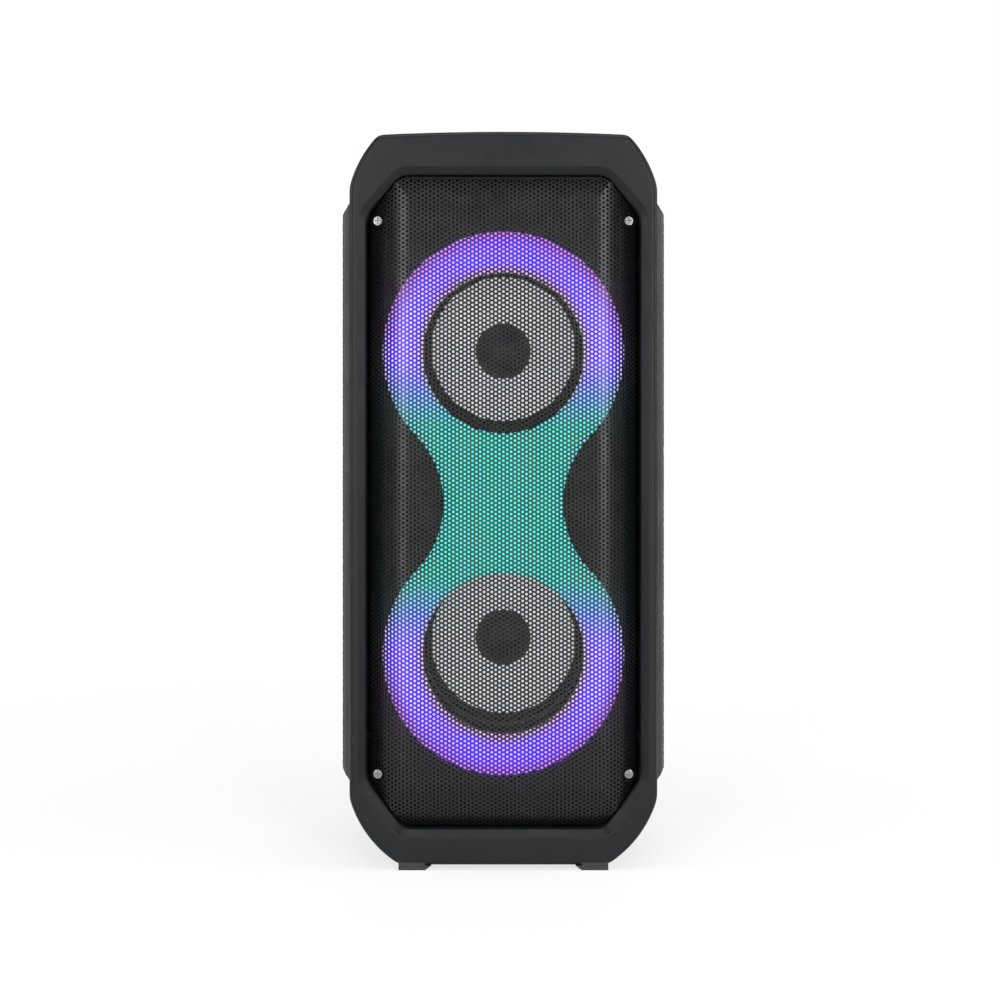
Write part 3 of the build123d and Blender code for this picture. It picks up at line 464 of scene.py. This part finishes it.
# Painted light: the cone paper glows with a grey emission that stands in for light reaching it through the
# grille.
PAPER_PAINTED_GLOW = Finish(
    "cone_paper",
    light=(0.80, 0.81, 0.82),
    dark=(0.68, 0.69, 0.71),
    roughness=0.8,
    grain=Grain.FIBRE,
    scale=1300.0,
    strength=0.5,
    glow=(0.80, 0.81, 0.82),
    glow_strength=0.56,
)
CAP = Finish(
    "cap_cloth",
    light=(0.012, 0.013, 0.015),
    dark=(0.006, 0.006, 0.007),
    roughness=0.38,
    grain=Grain.WOVEN,
    scale=2600.0,
    strength=0.3,
)
AMBER_CLOTH = Finish(
    "spider_cloth",
    light=(0.52, 0.34, 0.12),
    dark=(0.34, 0.20, 0.06),
    roughness=0.8,
    grain=Grain.WOVEN,
    scale=2600.0,
    strength=0.5,
)
COPPER = Finish(
    "copper_winding",
    light=(0.72, 0.34, 0.16),
    dark=(0.50, 0.22, 0.09),
    roughness=0.3,
    grain=Grain.BRUSHED,
    scale=3000.0,
    strength=0.4,
    metallic=1.0,
)
FERRITE = Finish(
    "ferrite",
    light=(0.060, 0.060, 0.064),
    dark=(0.030, 0.030, 0.033),
    roughness=0.7,
    grain=Grain.PEBBLE,
    scale=2000.0,
    strength=0.4,
)
STEEL_PAINT = Finish(
    "steel_paint",
    light=(0.030, 0.030, 0.032),
    dark=(0.018, 0.018, 0.020),
    roughness=0.4,
    scale=1600.0,
    strength=0.2,
)
BOARD = Finish(
    "board_green",
    light=(0.020, 0.150, 0.060),
    dark=(0.010, 0.085, 0.034),
    roughness=0.35,
    grain=Grain.TRACES,
    scale=420.0,
    strength=0.4,
    coat=0.3,
)
WHITE_BOARD = Finish(
    "board_white",
    light=(0.80, 0.81, 0.80),
    dark=(0.66, 0.68, 0.66),
    roughness=0.35,
    grain=Grain.TRACES,
    scale=500.0,
    strength=0.2,
)
REFLECTOR = Finish(
    "reflector",
    light=(0.80, 0.80, 0.80),
    dark=(0.72, 0.72, 0.72),
    roughness=0.4,
    strength=0.05,
)
EMITTER = Finish(
    "emitter",
    light=(0.90, 0.88, 0.80),
    dark=(0.80, 0.78, 0.60),
    roughness=0.3,
    strength=0.05,
    glow=(0.6, 0.45, 1.0),
    glow_strength=0.8,
)
WRAP = Finish(
    "battery_wrap",
    light=(0.030, 0.090, 0.260),
    dark=(0.020, 0.060, 0.190),
    roughness=0.25,
    scale=300.0,
    strength=0.1,
)
ALLOY = Finish(
    "sink_alloy",
    light=(0.74, 0.75, 0.76),
    dark=(0.60, 0.61, 0.62),
    roughness=0.35,
    grain=Grain.BRUSHED,
    scale=1500.0,
    strength=0.2,
    metallic=1.0,
)
RED_WIRE = Finish(
    "wire_cover",
    light=(0.34, 0.020, 0.018),
    dark=(0.24, 0.012, 0.012),
    roughness=0.4,
    scale=900.0,
    strength=0.08,
)
PHENOLIC = Finish(
    "phenolic",
    light=(0.36, 0.20, 0.08),
    dark=(0.26, 0.13, 0.05),
    roughness=0.5,
    grain=Grain.FIBRE,
    scale=900.0,
    strength=0.2,
)

CAD_FINISHES: dict[str, Finish] = {
    "cabinet": BODY,
    "handle_cup": BODY,
    "feet": RUBBER,
    "baffle": INNER,
    "port_tube": INNER,
    "control_panel": GLOSS,
    "io_panel": GLOSS,
    "volume_knob": GLOSS,
    "grille_screws": ZINC,
    "cabinet_screws": ZINC,
    "bezel_screws": ZINC,
    "mic_jack": NICKEL,
    "aux_jack": NICKEL,
    "usb_port": NICKEL,
    "charge_inlet": NICKEL,
    "volume_encoder": NICKEL,
    "light_tray": REFLECTOR,
    "led_board": WHITE_BOARD,
    "led_emitters": EMITTER,
    "control_board": BOARD,
    "amplifier_board": BOARD,
    "heat_sink": ALLOY,
    "battery_pack": WRAP,
    "battery_strap": STEEL_PAINT,
    "speaker_leads": RED_WIRE,
    "power_button": KEY_RUBBER,
    "pair_button": KEY_RUBBER,
    "play_button": KEY_RUBBER,
    "light_button": KEY_RUBBER,
    "mode_button": KEY_RUBBER,
}
DRIVER_FINISHES: dict[str, Finish] = {
    "basket": STEEL_PAINT,
    "gasket": RUBBER,
    "spider": AMBER_CLOTH,
    "voice_coil": COPPER,
    "top_plate": MACHINED,
    "magnet": FERRITE,
    "pole_piece": MACHINED,
    "terminal": PHENOLIC,
    "driver_screws": ZINC,
}


class Wardrobe:
    """Materials made once and shared."""

    made: dict[str, Any] = {}

    @classmethod
    def get(cls, finish: Any) -> Any:
        """Material of a finish."""
        if finish.name not in cls.made:
            cls.made[finish.name] = finish.material()
        return cls.made[finish.name]


def mesh_object(name: str, points: np.ndarray, quads: np.ndarray, towards: Sequence[float]) -> Any:
    """Make an object from points and four-sided faces.

    Args:
        name: piece name.
        points: n by 3 array in millimetres.
        quads: m by 4 array of point numbers.
        towards: direction that the summed face normals must agree with.

    Returns:
        The linked object, smooth except across sharp edges.
    """
    corners = points[quads]
    normals = np.cross(corners[:, 2] - corners[:, 0], corners[:, 3] - corners[:, 1])
    if normals.sum(0) @ np.array(towards, float) < 0:
        quads = quads[:, ::-1]
    mesh = bpy.data.meshes.new(name)
    mesh.vertices.add(len(points))
    mesh.vertices.foreach_set("co", (points * MM).astype(np.float32).ravel())
    mesh.loops.add(quads.size)
    mesh.loops.foreach_set("vertex_index", np.ascontiguousarray(quads).astype(np.int32).ravel())
    mesh.polygons.add(len(quads))
    mesh.polygons.foreach_set("loop_start", np.arange(0, quads.size, 4, dtype=np.int32))
    mesh.update(calc_edges=True)
    mesh.validate()
    mesh.shade_smooth()
    mesh.set_sharp_from_angle(angle=NEW_SHARP_ANGLE)
    made = bpy.data.objects.new(name, mesh)
    bpy.context.scene.collection.objects.link(made)
    return made


def grid_quads(rows: int, columns: int, closed: bool) -> np.ndarray:
    """Faces of a grid.

    Args:
        rows: points one way.
        columns: points the other way.
        closed: whether the last column joins the first.

    Returns:
        Four point numbers for each face.
    """
    r = np.arange(rows - 1)[:, None]
    c = np.arange(columns if closed else columns - 1)[None, :]
    n = (c + 1) % columns
    here, above = r * columns, (r + 1) * columns
    return np.stack([here + c, here + n, above + n, above + c], -1).reshape(-1, 4)


def grid_object(name: str, grid: np.ndarray, closed: bool, towards: Sequence[float]) -> Any:
    """Object from a surface with two parameters.

    Args:
        name: piece name.
        grid: rows by columns by 3 array in millimetres.
        closed: whether the last column joins the first.
        towards: direction that the summed face normals must agree with.

    Returns:
        The linked object.
    """
    quads = grid_quads(grid.shape[0], grid.shape[1], closed)
    return mesh_object(name, grid.reshape(-1, 3), quads, towards)


def settle(piece: Any, body: str, finish: Any, nodes: Sequence[str] = ()) -> None:
    """Dress a new piece, put it on its body and hide the CAD nodes that it replaces.

    Args:
        piece: the new object.
        body: body that it rides on, or an empty name to leave it unattached.
        finish: its finish.
        nodes: CAD nodes that it replaces.
    """
    piece.data.materials.append(Wardrobe.get(finish))
    if body:
        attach(piece, body)
    if nodes:
        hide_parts(*nodes)
    LOG.info("%s: %d faces", piece.name, len(piece.data.polygons))


def spun(profile: Sequence[tuple[float, float]], centre_z: float, steps: int = 144) -> np.ndarray:
    """Grid of a profile carried round the front to back axis.

    Args:
        profile: pairs of radius and depth.
        centre_z: height of the axis.
        steps: points round the axis.

    Returns:
        Grid of points.
    """
    turn = np.linspace(0, 2 * np.pi, steps, endpoint=False)
    radius, depth = np.array(profile, float).T
    x = radius[:, None] * np.cos(turn)
    z = centre_z + radius[:, None] * np.sin(turn)
    return np.stack([x, np.broadcast_to(depth[:, None], x.shape), z], -1)


def arc_points(start: tuple[float, float], end: tuple[float, float], bulge: float, count: int) -> np.ndarray:
    """Points on a shallow parabola that bulges to the right of its chord.

    Args:
        start: first point, included.
        end: last point, left out.
        bulge: greatest height over the chord.
        count: points in the result.

    Returns:
        count by 2 array.
    """
    a, b = np.array(start, float), np.array(end, float)
    t = np.linspace(0, 1, count, endpoint=False)[:, None]
    way = (b - a) / np.linalg.norm(b - a)
    right = np.array([way[1], -way[0]])
    return a + (b - a) * t + right * (4 * bulge * t * (1 - t))


def soft_loop(corners: np.ndarray, sigma: float, count: int) -> np.ndarray:
    """Closed line of evenly spaced points, its corners rounded by a Gaussian average along the line.

    Args:
        corners: points in order, first not repeated.
        sigma: width of the average in millimetres.
        count: points in the result.

    Returns:
        count by 2 array.
    """
    ring = np.vstack([corners, corners[:1]])
    run = np.concatenate([[0], np.cumsum(np.linalg.norm(np.diff(ring, axis=0), axis=1))])
    s = np.linspace(0, run[-1], count, endpoint=False)
    even = np.stack([np.interp(s, run, ring[:, 0]), np.interp(s, run, ring[:, 1])], -1)
    wave = np.fft.fftfreq(count, d=run[-1] / count)
    gain = np.exp(-2 * (np.pi * wave * sigma) ** 2)
    return np.real(np.fft.ifft(np.fft.fft(even, axis=0) * gain[:, None], axis=0))


def shifted_loop(loop: np.ndarray, outwards: float) -> np.ndarray:
    """Closed line moved along its own normal.

    Args:
        loop: points in order, anticlockwise.
        outwards: distance, negative for inwards.

    Returns:
        The moved points.
    """
    way = np.roll(loop, -1, axis=0) - np.roll(loop, 1, axis=0)
    way /= np.linalg.norm(way, axis=1)[:, None]
    return loop + outwards * np.stack([way[:, 1], -way[:, 0]], -1)


def stacked(rows: Sequence[tuple[np.ndarray, Any]]) -> np.ndarray:
    """Grid from loops in the front plane.

    Args:
        rows: each loop with its depth, one number or one for each point.

    Returns:
        Grid of points.
    """
    layers = [(loop[:, 0], np.broadcast_to(y, len(loop)), loop[:, 1]) for loop, y in rows]
    return np.stack([np.stack(layer, -1) for layer in layers])


@dataclass
class Bezel:
    """Front frame: rounded outer edge, flat face and a sloped lip round the window."""

    half: float = 86.5
    top: float = 414.3
    drop: float = 1.7
    base: float = 2.6
    side: tuple[float, float] = (39.6, 383.4)
    top_half: float = 70.3
    base_half: float = 58.5
    depth: float = 22.0
    edge: float = 3.0
    lip: float = 4.2
    wall: float = 3.0
    window_half: float = 77.4
    window: tuple[float, float] = (22.2, 390.2)
    top_cut: tuple[float, float] = (19.6, 22.4)
    base_cut: tuple[float, float] = (20.7, 27.4)
    count: int = 1200

    def outline(self) -> np.ndarray:
        """Outer line, anticlockwise from the middle of the top.

        Returns:
            Points of the straight sides, bulged corners and crowned top.
        """
        low, high = (self.half, self.side[0]), (self.half, self.side[1])
        top, base = (self.top_half, self.top - self.drop), (self.base_half, self.base)

        def flip(p: tuple[float, float]) -> tuple[float, float]:
            return (-p[0], p[1])

        parts = [
            arc_points(top, flip(top), self.drop, 60)[30:],
            arc_points(flip(top), flip(high), 2.1, 30),
            arc_points(flip(high), flip(low), 0, 2),
            arc_points(flip(low), flip(base), 4.3, 30),
            arc_points(flip(base), base, 0, 2),
            arc_points(base, low, 4.3, 30),
            arc_points(low, high, 0, 2),
            arc_points(high, top, 2.1, 30),
            arc_points(top, flip(top), self.drop, 60)[:30],
        ]
        return soft_loop(np.vstack(parts), 2.2, self.count)

    def window_corners(self) -> np.ndarray:
        """Corners of the eight-sided window, anticlockwise from the middle of the top."""
        low, high = self.window
        right = [
            (self.window_half - self.base_cut[0], low),
            (self.window_half, low + self.base_cut[1]),
            (self.window_half, high - self.top_cut[1]),
            (self.window_half - self.top_cut[0], high),
        ]
        left = [(-x, z) for x, z in reversed(right)]
        return np.array([(0.0, high), *left, *right])

    def build(self) -> None:
        """Make the frame as loops carried from its back edge over the front and into the window."""
        outer = self.outline()
        opening = soft_loop(self.window_corners(), 3.2, self.count)
        back = FRONT + self.depth
        rows = [(shifted_loop(outer, -self.wall), back), (shifted_loop(outer, -0.5), back)]
        rows += [(outer, back - 0.5), (outer, FRONT + self.edge + 2)]
        for turn in np.radians(np.linspace(0, 90, 9)):
            inset = self.edge * (1 - math.cos(turn))
            rows.append((shifted_loop(outer, -inset), FRONT + self.edge * (1 - math.sin(turn))))
        rows.append((shifted_loop(outer, -self.edge - 0.3), FRONT))
        for grow, y in ((0.8, 0.0), (0.25, 0.05), (-0.05, 0.2), (-0.4, 0.5)):
            rows.append((shifted_loop(opening, self.lip + grow), FRONT + y))
        for grow, y in ((0.5, -0.55), (0.15, -0.15), (0.0, 0.35), (0.0, 1.5), (0.0, 20.0)):
            rows.append((shifted_loop(opening, grow), FRONT + self.lip + y))
        piece = grid_object("bezel", stacked(rows), True, (0, -1, 0))
        settle(piece, "enclosure", BODY, ["front_bezel"])


@dataclass
class Grille:
    """Perforated sheet, flat in the middle and rolled back at its sides and bottom."""

    bezel: Bezel
    gap: float = 0.7
    face: float = FRONT + 2.0
    flat_half: float = 52.5
    side_roll: float = 30.0
    end_roll: float = 50.0
    flat_z: tuple[float, float] = (48.5, 376.0)
    sheet: float = 0.8
    pitch: float = 2.5
    hole: float = 0.80
    foot: float = FRONT + 20.5
    cup: float = 3.3
    cup_floor: float = -70.0
    screws: tuple[tuple[float, float], ...] = ((-71.2, 365.6), (71.2, 365.6), (-71.2, 51.5), (71.2, 51.5))

    def depth(self, x: np.ndarray, z: np.ndarray) -> np.ndarray:
        """Depth of the skin: circular rolls begin beside the flat, and the deeper direction holds."""
        side = np.clip(np.abs(x) - self.flat_half, 0, self.side_roll - 1)
        end = np.clip(np.maximum(self.flat_z[0] - z, z - self.flat_z[1]), 0, self.end_roll - 1)
        deep = self.side_roll - np.sqrt(self.side_roll**2 - side**2)
        low = self.end_roll - np.sqrt(self.end_roll**2 - end**2)
        return self.face + np.maximum(deep, low)

    def folded(self, u: np.ndarray, v: np.ndarray) -> tuple[np.ndarray, np.ndarray]:
        """Place of flat sheet coordinates after rolling, with lengths kept along each arc."""
        over = np.maximum(np.abs(u) - self.flat_half, 0)
        turned = self.side_roll * np.sin(np.minimum(over / self.side_roll, 1.5))
        x = np.sign(u) * (np.minimum(np.abs(u), self.flat_half) + turned)
        below = np.maximum(self.flat_z[0] - v, 0)
        above = np.maximum(v - self.flat_z[1], 0)
        rolled = np.sin(above / self.end_roll) - np.sin(below / self.end_roll)
        z = np.clip(v, *self.flat_z) + self.end_roll * rolled
        return x, z

    def margin(self, x: np.ndarray, z: np.ndarray) -> np.ndarray:
        """Distance inside the sheet's eight-sided outline, negative outside."""
        corners = self.bezel.window_corners()[1:]
        ends = np.roll(corners, -1, axis=0)
        way = (ends - corners) / np.linalg.norm(ends - corners, axis=1)[:, None]
        across = np.stack([-way[:, 1], way[:, 0]], -1)
        spread = [(x - c[0]) * n[0] + (z - c[1]) * n[1] for c, n in zip(corners, across)]
        return np.min(spread, axis=0) - self.gap

    def cells(self) -> tuple[np.ndarray, np.ndarray]:
        """Centres of the holes on the flat sheet: columns half a pitch apart in turn, at 60 degrees."""
        step = self.pitch * math.cos(math.pi / 6)
        i, j = np.meshgrid(np.arange(-42, 43), np.arange(-2, 162), indexing="ij")
        u = i * step
        v = 12.0 + (j + 0.5 * (i % 2)) * self.pitch
        x, z = self.folded(u, v)
        keep = self.margin(x, z) > 0.9
        for sx, sz in self.screws:
            keep &= np.hypot(x - sx, z - sz) > self.cup + 1.3
        return u[keep], v[keep]

    def holes(self, u: np.ndarray, v: np.ndarray) -> tuple[np.ndarray, np.ndarray]:
        """Six-sided cells, each with a round hole of twelve corners and the hole's wall."""
        turn = np.arange(12) * np.pi / 6
        reach = np.where(np.arange(12) % 2 == 0, self.pitch / math.sqrt(3), self.pitch / 2)
        rings = []
        mouth = np.full(12, self.hole)
        for radius, sunk in ((reach, 0.0), (mouth, 0.0), (mouth, self.sheet)):
            a = u[:, None] + radius * np.cos(turn)
            b = v[:, None] + radius * np.sin(turn)
            x, z = self.folded(a, b)
            lean = np.clip((np.abs(x) - self.flat_half) / self.side_roll, 0, 0.95)
            y = self.depth(x, z) + sunk * np.sqrt(1 - lean**2)
            rings.append(np.stack([x - np.sign(x) * sunk * lean, y, z], -1))
        points = np.stack(rings, 1).reshape(-1, 3)
        k = np.arange(12)
        n = (k + 1) % 12
        collar = np.stack([k, n, n + 12, k + 12], -1)
        one = np.vstack([collar, collar + 12])
        quads = (np.arange(len(u))[:, None, None] * 36 + one).reshape(-1, 4)
        keys = np.round(points / 0.01).astype(np.int64)
        _, first, back = np.unique(keys, axis=0, return_index=True, return_inverse=True)
        return points[first], back.reshape(-1)[quads]

    def rim(self) -> np.ndarray:
        """Plain margin of the sheet and the wall that it is folded into."""
        line = soft_loop(self.bezel.window_corners(), 3.2, 900)
        rows = []
        for inset, sunk in ((1.5, -0.04), (0.9, -0.04), (0.35, 0.06), (0.1, 0.3), (0.0, 0.7)):
            loop = shifted_loop(line, -self.gap - inset)
            rows.append((loop, self.depth(loop[:, 0], loop[:, 1]) + sunk))
        rows.append((shifted_loop(line, -self.gap), self.foot))
        return stacked(rows)

    def cups(self) -> tuple[np.ndarray, np.ndarray]:
        """Pressed cup round each screw: a collar on the skin, a wall, and a flat floor."""
        turn = np.linspace(0, 2 * np.pi, 48, endpoint=False)
        points, quads = [], []
        for sx, sz in self.screws:
            rows = []
            for radius, sunk in ((self.cup + 1.7, -0.05), (self.cup + 0.4, -0.05), (self.cup, 0.3)):
                x, z = sx + radius * np.cos(turn), sz + radius * np.sin(turn)
                inside = np.clip(x, -75.6, 75.6)
                y = np.minimum(self.depth(inside, z) + sunk, self.cup_floor)
                rows.append(np.stack([inside, y, z], -1))
            for radius in (self.cup, 1.6):
                x, z = sx + radius * np.cos(turn), sz + radius * np.sin(turn)
                rows.append(np.stack([x, np.full_like(x, self.cup_floor), z], -1))
            quads.append(grid_quads(len(rows), 48, True) + len(points) * len(rows) * 48)
            points.append(np.stack(rows).reshape(-1, 3))
        return np.vstack(points), np.vstack(quads)

    def build(self) -> None:
        """Make the holes in four bands, then the rim and the cups."""
        u, v = self.cells()
        bands = np.array_split(np.argsort(v, kind="stable"), 4)
        for number, band in enumerate(bands):
            points, quads = self.holes(u[band], v[band])
            piece = mesh_object(f"grille_band_{number + 1}", points, quads, (0, -1, 0))
            settle(piece, "enclosure", GlowPaintedSheet(), ["grille"])
        rim = grid_object("grille_rim", self.rim(), True, (0, -1, 0))
        settle(rim, "enclosure", GlowPaintedSheet(), ["grille"])
        cups = mesh_object("grille_cups", *self.cups(), (0, -1, 0))
        settle(cups, "enclosure", GlowPaintedSheet(), ["grille"])


@dataclass
class Cheek:
    """Side panel with sloped ends and a pebbled skin."""

    side: int
    inner: float = 86.5
    thick: float = 6.5
    low: float = 41.6
    high: float = 381.4
    slope: float = 10.0
    front: float = -59.0
    length: float = 121.0
    bevel: float = 2.0
    step: float = 0.85
    pebble: float = 2.6
    relief: float = 0.45

    def pebbles(self, y: np.ndarray, z: np.ndarray) -> np.ndarray:
        """Rounded pebbles: one minus the squared distance to the nearest scattered point, 0 to 1."""
        place = np.stack([y, z], -1) / self.pebble
        home = np.floor(place)
        nearest = np.full(y.shape, 9.0)
        for dy in (-1, 0, 1):
            for dz in (-1, 0, 1):
                cell = home + (dy, dz)
                wild = np.sin(cell @ np.array([[127.1, 269.5], [311.7, 183.3]])) * 43758.5453
                point = cell + 0.15 + 0.7 * (wild - np.floor(wild))
                nearest = np.minimum(nearest, np.sum((place - point) ** 2, axis=-1))
        return np.clip(1.0 - nearest, 0, 1)

    def build(self) -> None:
        """Make the panel as a height over its (y, z) plane, the least of thickness and slopes."""
        back = self.front + self.length
        y = np.concatenate([[self.front], np.arange(self.front, back, self.step), [back, back]])
        z = np.concatenate([[self.low], np.arange(self.low, self.high, self.step), [self.high, self.high]])
        yy, zz = np.meshgrid(y, z, indexing="ij")
        ends = np.minimum(zz - self.low, self.high - zz) * self.thick / self.slope
        edges = np.minimum(yy - self.front, back - yy) + self.thick - self.bevel
        height = np.minimum(np.minimum(ends, edges), self.thick)
        fade = np.clip(np.minimum(ends, height) / 1.5, 0, 1)
        height = np.maximum(height - self.relief + self.relief * self.pebbles(yy, zz) * fade, 0)
        for wall in (0, -1):
            height[wall, :] = -0.3
            height[:, wall] = -0.3
        grid = np.stack([self.side * (self.inner + height), yy, zz], -1)
        name = "right" if self.side > 0 else "left"
        piece = grid_object(f"cheek_panel_{name}", grid, False, (self.side, 0, 0))
        settle(piece, "enclosure", CHEEK, [f"cheek_{name}"])


@dataclass
class Driver:
    """Visible parts of one driver: cone, dust cap and surround."""

    name: str
    centre: float
    rim: float = 40.5
    cone: float = 42.3
    cone_y: float = -43.6
    neck: float = 13.0
    fall: float = 18.1
    cap: float = 16.4
    cap_rise: float = 6.0
    roll: float = 2.75
    roll_centre: float = 45.7
    outer_lip: float = 51.0

    def cone_profile(self) -> list[tuple[float, float]]:
        """Flat rim, then a slightly curved fall to the neck with three pressed rings, then the back."""
        radius = np.linspace(self.rim, self.neck, 90)
        share = (self.rim - radius) / (self.rim - self.neck)
        rings = sum(np.exp(-(((radius - r) / 0.55) ** 2)) for r in (35.5, 30.0, 24.5))
        front = self.cone_y + self.fall * (share + 0.045 * np.sin(np.pi * share)) - 0.28 * rings
        face = [(self.cone, self.cone_y + 0.8), (self.cone, self.cone_y + 0.1)]
        face += [(self.cone - 0.1, self.cone_y), *zip(radius, front)]
        return face + list(zip(radius[::-1], front[::-1] + 0.75)) + [(self.cone, self.cone_y + 0.8)]

    def cap_profile(self) -> list[tuple[float, float]]:
        """Spherical dome with a glued foot."""
        rim_y = self.cone_y + (self.rim - self.cap) / (self.rim - self.neck) * self.fall - 0.3
        ball = (self.cap**2 + self.cap_rise**2) / (2 * self.cap_rise)
        radius = np.linspace(self.cap, 0.01, 40)
        dome = rim_y - self.cap_rise + ball - np.sqrt(ball**2 - radius**2)
        return [(self.cap - 0.3, rim_y + 0.45), (self.cap + 0.1, rim_y + 0.25)] + list(zip(radius, dome))

    def roll_profile(self) -> list[tuple[float, float]]:
        """Inner lip, half-round roll towards the front, outer lip."""
        base = self.cone_y + 1.45
        turn = np.linspace(np.pi, 0, 28)
        roll = [(self.roll_centre + self.roll * math.cos(t), base - self.roll * math.sin(t)) for t in turn]
        return [(self.rim + 0.3, base), *roll, (self.outer_lip, base)]

    def build(self) -> None:
        """Make the three visible pieces and dress the CAD pieces of this driver."""
        moving = f"{self.name}_diaphragm"
        cone = grid_object(f"{self.name}_cone_skin", spun(self.cone_profile(), self.centre), True, (0, -1, 0))
        settle(cone, moving, PAPER_PAINTED_GLOW, [f"{self.name}_cone"])
        dome = spun(self.cap_profile(), self.centre, 96)
        cap = grid_object(f"{self.name}_cap_dome", dome, True, (0, -1, 0))
        settle(cap, moving, CAP, [f"{self.name}_dust_cap"])
        roll = grid_object(f"{self.name}_roll", spun(self.roll_profile(), self.centre), True, (0, -1, 0))
        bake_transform(roll)
        settle(roll, "", RUBBER, [f"{self.name}_surround"])
        for part, finish in DRIVER_FINISHES.items():
            dress_node(f"{self.name}_{part}", finish)


def dress_node(name: str, finish: Any) -> None:
    """Give a CAD node its finish, joined smooth except across sharp edges.

    Args:
        name: node name.
        finish: its finish.
    """
    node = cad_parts[name]
    node.data.materials.clear()
    node.data.materials.append(Wardrobe.get(finish))
    node.data.shade_smooth()
    weld = node.modifiers.new("weld", "WELD")
    weld.merge_threshold = WELD_REACH
    split = node.modifiers.new("split", "EDGE_SPLIT")
    split.split_angle = CAD_SHARP_ANGLE
    LOG.info("%s dressed with %s", name, finish.name)


@dataclass
class Studio:
    """Floor, lamps, white surroundings and the camera."""

    eye: Colour = (-0.0019, -0.8665, 0.232)
    shift: float = -0.0438
    lens_ratio: float = 1.4

    def lamp(self, name: str, place: Colour, aim: Colour, size: tuple[float, float], power: float) -> None:
        """Add one rectangular soft lamp that looks at a point."""
        data = bpy.data.lights.new(name, "AREA")
        data.shape, data.size, data.size_y, data.energy = "RECTANGLE", size[0], size[1], power
        lamp = bpy.data.objects.new(name, data)
        bpy.context.scene.collection.objects.link(lamp)
        lamp.location = place
        way = Vector(aim) - Vector(place)
        lamp.rotation_euler = way.to_track_quat("-Z", "Y").to_euler()

    def surroundings(self) -> None:
        """White to the camera, and a soft grey light for everything else, reflections included."""
        world = bpy.data.worlds.new("surroundings")
        bpy.context.scene.world = world
        world.use_nodes = True
        tree = world.node_tree
        tree.nodes.clear()
        output = tree.nodes.new("ShaderNodeOutputWorld")
        shade, white = tree.nodes.new("ShaderNodeBackground"), tree.nodes.new("ShaderNodeBackground")
        shade.inputs[0].default_value = (1, 1, 1, 1)
        shade.inputs[1].default_value = 0.14
        white.inputs[0].default_value = (1, 1, 1, 1)
        mix, path = tree.nodes.new("ShaderNodeMixShader"), tree.nodes.new("ShaderNodeLightPath")
        tree.links.new(path.outputs["Is Camera Ray"], mix.inputs[0])
        tree.links.new(shade.outputs[0], mix.inputs[1])
        tree.links.new(white.outputs[0], mix.inputs[2])
        tree.links.new(mix.outputs[0], output.inputs[0])

    def floor(self) -> None:
        """Pale floor that keeps the object's shadow and is lifted to white for the camera."""
        ends = np.array([-6000.0, 6000.0])
        x, y = np.meshgrid(ends, ends)
        grid = np.stack([x, y, np.zeros_like(x)], -1)
        floor = grid_object("floor", grid, False, (0, 0, 1))
        recipe = Recipe("floor_paper")
        paper = recipe.mix(recipe.noise(300.0), (0.86, 0.86, 0.86), (0.90, 0.90, 0.90))
        recipe.feed(Base_Color=paper, Roughness=0.8)
        glow = recipe.node("ShaderNodeEmission", {}, {"Color": (1, 1, 1, 1), "Strength": 1.0})
        path = recipe.node("ShaderNodeLightPath", {}, {})
        x, y, _ = recipe.axes()
        away = (x * x + y * y).root().ramp(0.18, 0.75, 0.72, 1.0)
        share = Signal(recipe, path.outputs["Is Camera Ray"]) * away
        inputs = {0: share, 1: recipe.shader.outputs[0], 2: glow.outputs[0]}
        mix = recipe.node("ShaderNodeMixShader", {}, inputs)
        recipe.tree.links.new(mix.outputs[0], recipe.output.inputs["Surface"])
        floor.data.materials.append(recipe.material)

    def build(self) -> None:
        """Set up the whole studio."""
        self.floor()
        self.surroundings()
        self.lamp("left_strip", (-0.42, -1.15, 0.46), (0, 0, 0.24), (0.20, 0.85), 6.6)
        self.lamp("right_strip", (0.44, -1.15, 0.46), (0, 0, 0.24), (0.20, 0.85), 7.2)
        self.lamp("left_box", (-1.2, -0.2, 0.6), (0, 0, 0.24), (0.7, 1.0), 7.0)
        self.lamp("right_box", (1.2, -0.2, 0.6), (0, 0, 0.24), (0.7, 1.0), 8.0)
        self.lamp("top_box", (0.0, -0.35, 1.35), (0, 0, 0.2), (1.2, 0.7), 8.0)
        self.lamp("back_box", (0.2, 1.4, 0.7), (0, 0, 0.2), (1.2, 1.0), 12.0)
        data = bpy.data.cameras.new("camera")
        data.sensor_width = 36.0
        data.lens = 36.0 * self.lens_ratio
        data.shift_y = self.shift
        camera = bpy.data.objects.new("camera", data)
        bpy.context.scene.collection.objects.link(camera)
        camera.location = self.eye
        camera.rotation_euler = (math.pi / 2, 0, 0)
        bpy.context.scene.camera = camera
        bpy.context.scene.view_settings.view_transform = "Standard"


def main() -> None:
    """Build every sub-assembly in order."""
    logging.basicConfig(level=logging.INFO, format="%(message)s")
    bezel = Bezel()
    bezel.build()
    Grille(bezel).build()
    for side in (-1, 1):
        Cheek(side).build()
    dress_node("light_diffuser", Diffuser())
    for name, ring in (("upper", RING_TOP), ("lower", RING_BOTTOM)):
        Driver(name, ring + DRIVER_RISE).build()
    for name, finish in CAD_FINISHES.items():
        dress_node(name, finish)
    Studio().build()


if __name__ == "__main__":
    main()
